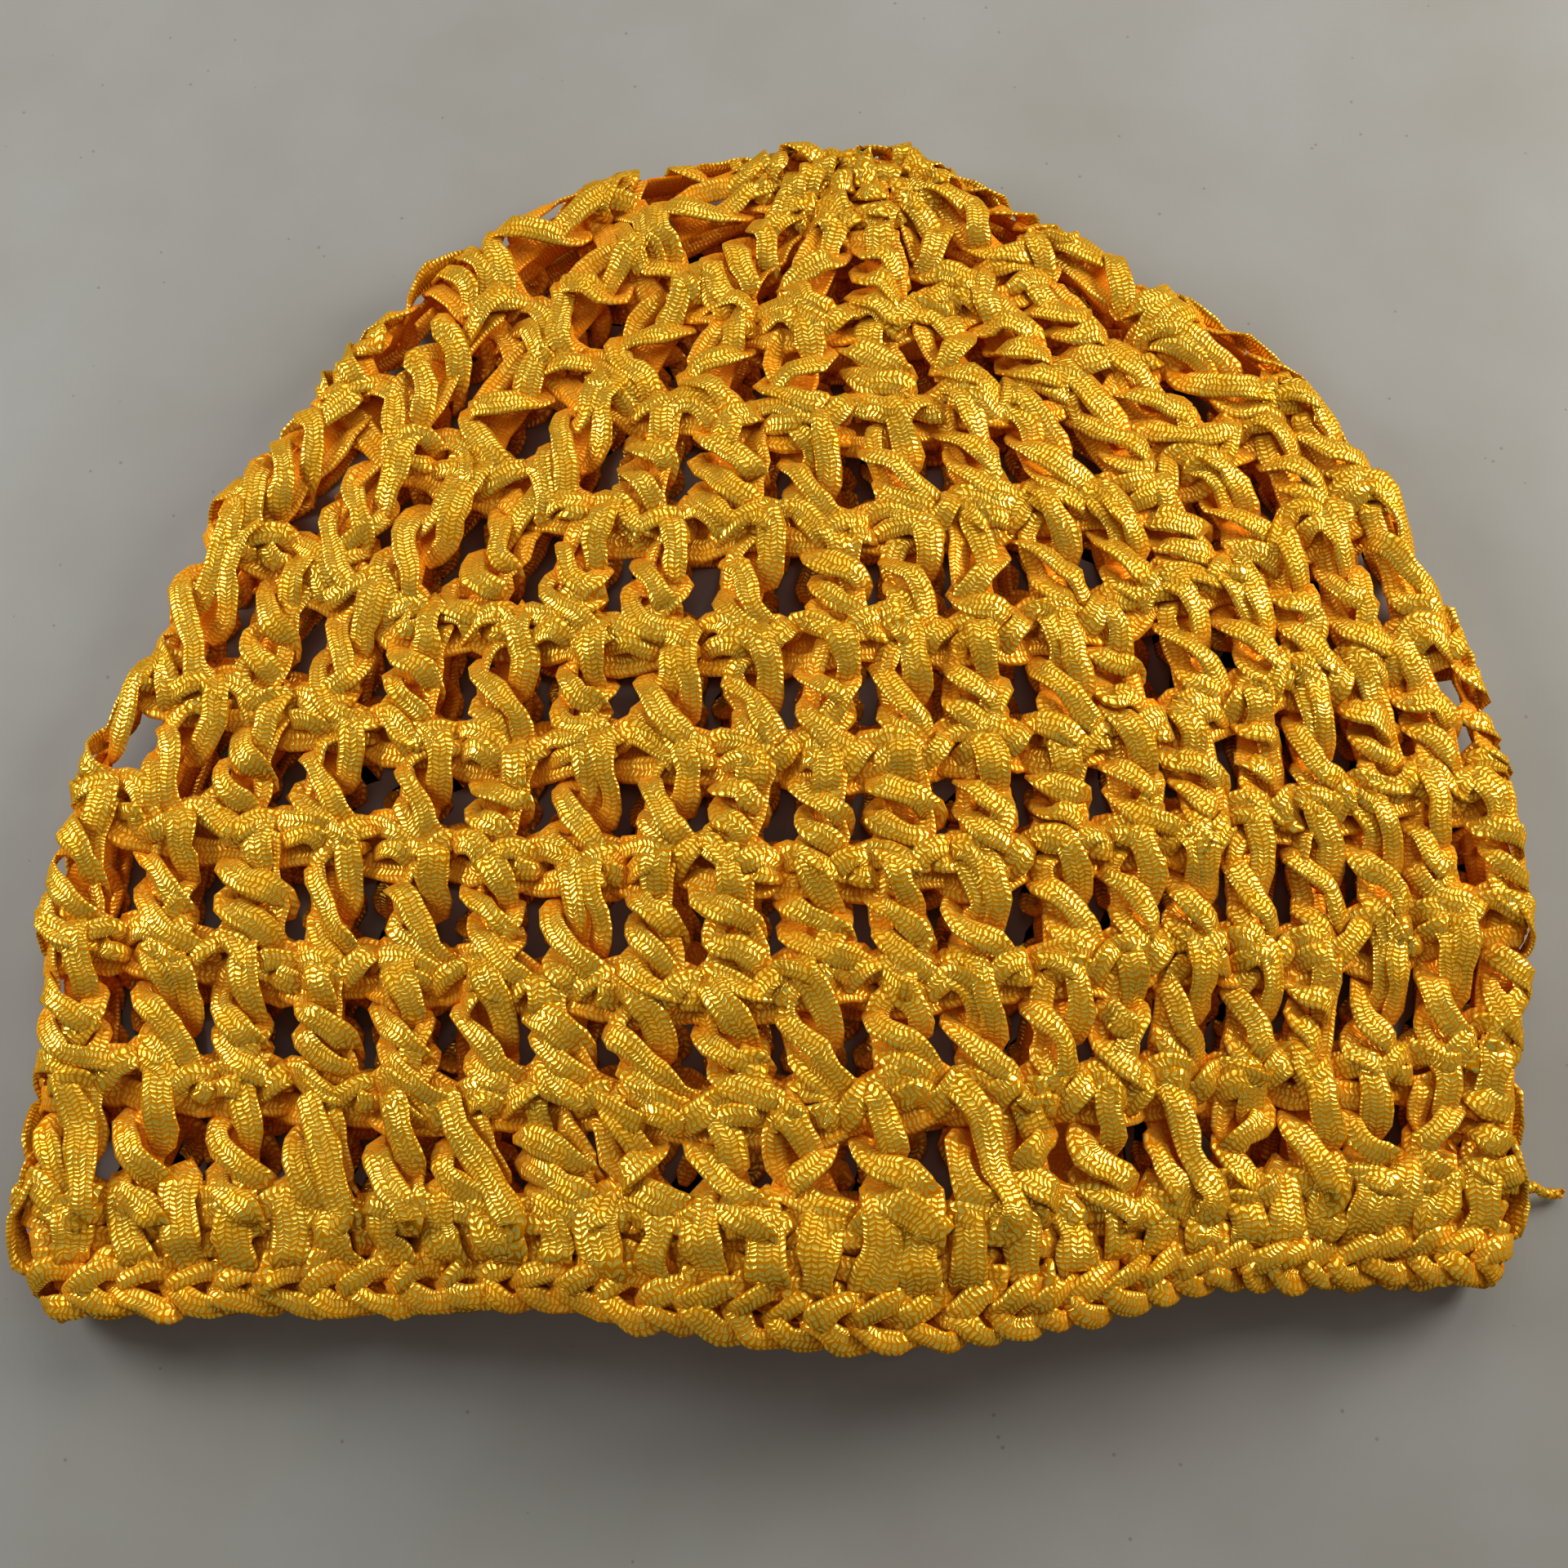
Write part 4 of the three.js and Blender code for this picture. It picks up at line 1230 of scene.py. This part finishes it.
class HAIRNET_OT_yarn_end(bpy.types.Operator):
    """Lay the loose end of the yarn at the right of the hem"""

    bl_idname = "hair_net.lay_yarn_end"
    bl_label = "Lay the loose end"

    def execute(self, context):
        low, high = (np.array(corner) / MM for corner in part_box("yarn_end"))
        middle = (low + high) / 2
        path = np.array(
            [
                (low[0] + 0.2, middle[1] + 0.6, high[2] - 1.1),
                (low[0] + 3.0, middle[1] + 0.5, high[2] - 1.3),
                (low[0] + 5.4, middle[1] - 0.2, 2.4),
                (low[0] + 7.4, middle[1] - 0.6, 1.1),
                (high[0] - 0.1, middle[1] - 0.4, 1.1),
            ]
        )
        shares = np.linspace(0, 1, END_STEPS + 1)
        knots = np.linspace(0, 1, len(path))
        centres = np.column_stack([np.interp(shares, knots, path[:, axis]) for axis in range(3)])
        points, edges, widths, sides = [], [], [], []
        for ply in range(END_PLIES):
            first = len(points)
            for i, share in enumerate(shares):
                angle = 2 * math.pi * (END_TURNS * share + ply / END_PLIES)
                swing = np.array([0, math.cos(angle), math.sin(angle)])
                points.append(tuple((centres[i] + END_SWING * swing) * MM))
                widths.append((END_WIDTH if share < 0.9 else END_TIP_WIDTH) * MM)
                sides.append((0, -math.sin(angle), math.cos(angle)))
            edges += [(first + i, first + i + 1) for i in range(END_STEPS)]
        mesh = bpy.data.meshes.new("yarn_end_path")
        mesh.from_pydata(points, edges, [])
        add_ribbon_sizes(mesh, widths, [END_THICKNESS * MM] * len(points), sides)
        mesh.attributes.new("strand_chance", "FLOAT", "POINT")
        grown("yarn_loose_end", "yarn_end", mesh, shared_tree("Loose yarn end", end_tree), {})
        return {"FINISHED"}


# What the camera is turned to, its angle of view in degrees and the width of its sensor
CAMERA_TARGET = (-1.9, -17.3, 0)
CAMERA_VIEW = 50
SENSOR = 36

# Half the width of the tile, in metres
TILE_REACH = 3.0

# How many clouds, grains and dark specks come in a metre of tile, and a speck's size and colour
TILE_CLOUDS = 26.0
TILE_GRAINS = 900.0
TILE_SPECKS = 160.0
SPECK_SIZE = 0.05
SPECK_COLOUR = (0.16, 0.14, 0.12)

# Lamps: name, place and size in metres, power in watts and colour
LAMPS = [
    ("window_lamp", (0.10, 0.82, 0.70), 0.80, 3.9, (1.0, 0.98, 0.94)),
    ("ceiling_lamp", (0.10, 0.42, 1.25), 0.40, 0.4, (1.0, 0.98, 0.95)),
    ("right_lamp", (0.54, 0.22, 0.28), 0.30, 3.3, (1.0, 0.97, 0.92)),
    ("left_lamp", (-0.54, 0.16, 0.28), 0.30, 2.5, (0.97, 0.98, 1.0)),
]
ROOM_COLOUR = (1.0, 0.95, 0.88, 1)
ROOM_STRENGTH = 0.20


class HAIRNET_OT_stage(bpy.types.Operator):
    """Lay the tile, hang the lights and set up the camera"""

    bl_idname = "hair_net.set_stage"
    bl_label = "Set the stage"

    def execute(self, context):
        add_floor()
        add_lights()
        add_camera()
        context.scene.view_settings.view_transform = "Standard"
        return {"FINISHED"}


def add_floor():
    """A pale tile with faint clouds and dark specks and a soft gloss."""
    mesh = bpy.data.meshes.new("tile")
    corners = [(x * TILE_REACH, y * TILE_REACH, 0) for x, y in ((-1, -1), (1, -1), (1, 1), (-1, 1))]
    mesh.from_pydata(corners, [], [(0, 1, 2, 3)])
    floor = bpy.data.objects.new("tile", mesh)
    bpy.context.scene.collection.objects.link(floor)
    material = bpy.data.materials.new("pale glazed tile")
    material.use_nodes = True
    tree = material.node_tree
    tree.nodes.clear()
    place = add_node(tree, "ShaderNodeTexCoord").outputs["Object"]
    clouds = ranged(tree, noise(tree, place, TILE_CLOUDS, 6.0), 0.32, 0.68)
    grain = noise(tree, place, TILE_GRAINS, 2.0)
    cells = {"Vector": place, "Scale": TILE_SPECKS}
    specks = made(tree, "ShaderNodeTexVoronoi", cells, feature="F1")
    specks = sums(tree, "LESS_THAN", specks, SPECK_SIZE)
    tile = tuple(bpy.context.scene.hair_net_colours.tile)
    warmer = (tile[0] * 0.88, tile[1] * 0.86, tile[2] * 0.82)
    colour = mixed(tree, clouds, tile, warmer)
    colour = mixed(tree, product(tree, grain, 0.35), colour, warmer)
    colour = mixed(tree, product(tree, specks, 0.6), colour, SPECK_COLOUR)
    surface = {"Base Color": colour, "Roughness": 0.5, "Specular IOR Level": 0.3}
    add_node(tree, "ShaderNodeOutputMaterial", {0: made(tree, "ShaderNodeBsdfPrincipled", surface)})
    mesh.materials.append(material)


def add_lights():
    """A broad lamp from the crown side, one on each side, a small one overhead and a dim room."""
    world = bpy.data.worlds.new("room")
    bpy.context.scene.world = world
    world.use_nodes = True
    background = world.node_tree.nodes["Background"]
    background.inputs["Color"].default_value = ROOM_COLOUR
    background.inputs["Strength"].default_value = ROOM_STRENGTH
    for name, place, size, power, colour in LAMPS:
        data = bpy.data.lights.new(name, "AREA")
        data.shape = "DISK"
        data.size = size
        data.energy = power
        data.color = colour
        lamp = bpy.data.objects.new(name, data)
        lamp.location = place
        lamp.rotation_euler = (-Vector(place)).to_track_quat("-Z", "Y").to_euler()
        bpy.context.scene.collection.objects.link(lamp)


def add_camera():
    """The camera at the photo's place, turned to the middle of the picture."""
    data = bpy.data.cameras.new("camera")
    data.sensor_width = SENSOR
    data.lens = SENSOR / 2 / math.tan(math.radians(CAMERA_VIEW / 2))
    data.clip_start = 0.01
    camera = bpy.data.objects.new("camera", data)
    place = Vector(CAMERA_PLACE) * MM
    camera.location = place
    camera.rotation_euler = (Vector(CAMERA_TARGET) * MM - place).to_track_quat("-Z", "Y").to_euler()
    bpy.context.scene.collection.objects.link(camera)
    bpy.context.scene.camera = camera


class HAIRNET_PT_sidebar(bpy.types.Panel):
    """Sizes, colours and steps of the hair net"""

    bl_idname = "HAIRNET_PT_sidebar"
    bl_label = "Hair net"
    bl_space_type = "VIEW_3D"
    bl_region_type = "UI"
    bl_category = "Hair net"

    def draw(self, context):
        for group in (context.scene.hair_net_sizes, context.scene.hair_net_colours):
            for key in group.bl_rna.properties.keys():
                if key not in ("rna_type", "name"):
                    self.layout.prop(group, key)
        for step in STEPS:
            self.layout.operator(step.bl_idname)


STEPS = [
    HAIRNET_OT_stage,
    HAIRNET_OT_crown,
    HAIRNET_OT_rounds,
    HAIRNET_OT_hem_band,
    HAIRNET_OT_edge_chain,
    HAIRNET_OT_yarn_end,
]
CLASSES = [HairNetSizes, HairNetColours, *STEPS, HAIRNET_PT_sidebar]


def register():
    for group in CLASSES:
        bpy.utils.register_class(group)
    bpy.types.Scene.hair_net_sizes = bpy.props.PointerProperty(type=HairNetSizes)
    bpy.types.Scene.hair_net_colours = bpy.props.PointerProperty(type=HairNetColours)


def unregister():
    del bpy.types.Scene.hair_net_colours
    del bpy.types.Scene.hair_net_sizes
    for group in reversed(CLASSES):
        bpy.utils.unregister_class(group)


def main():
    register()
    bpy.ops.hair_net.set_stage()
    bpy.ops.hair_net.crochet_crown()
    bpy.ops.hair_net.crochet_rounds()
    bpy.ops.hair_net.crochet_hem_band()
    bpy.ops.hair_net.crochet_edge_chain()
    bpy.ops.hair_net.lay_yarn_end()


if __name__ == "__main__":
    main()
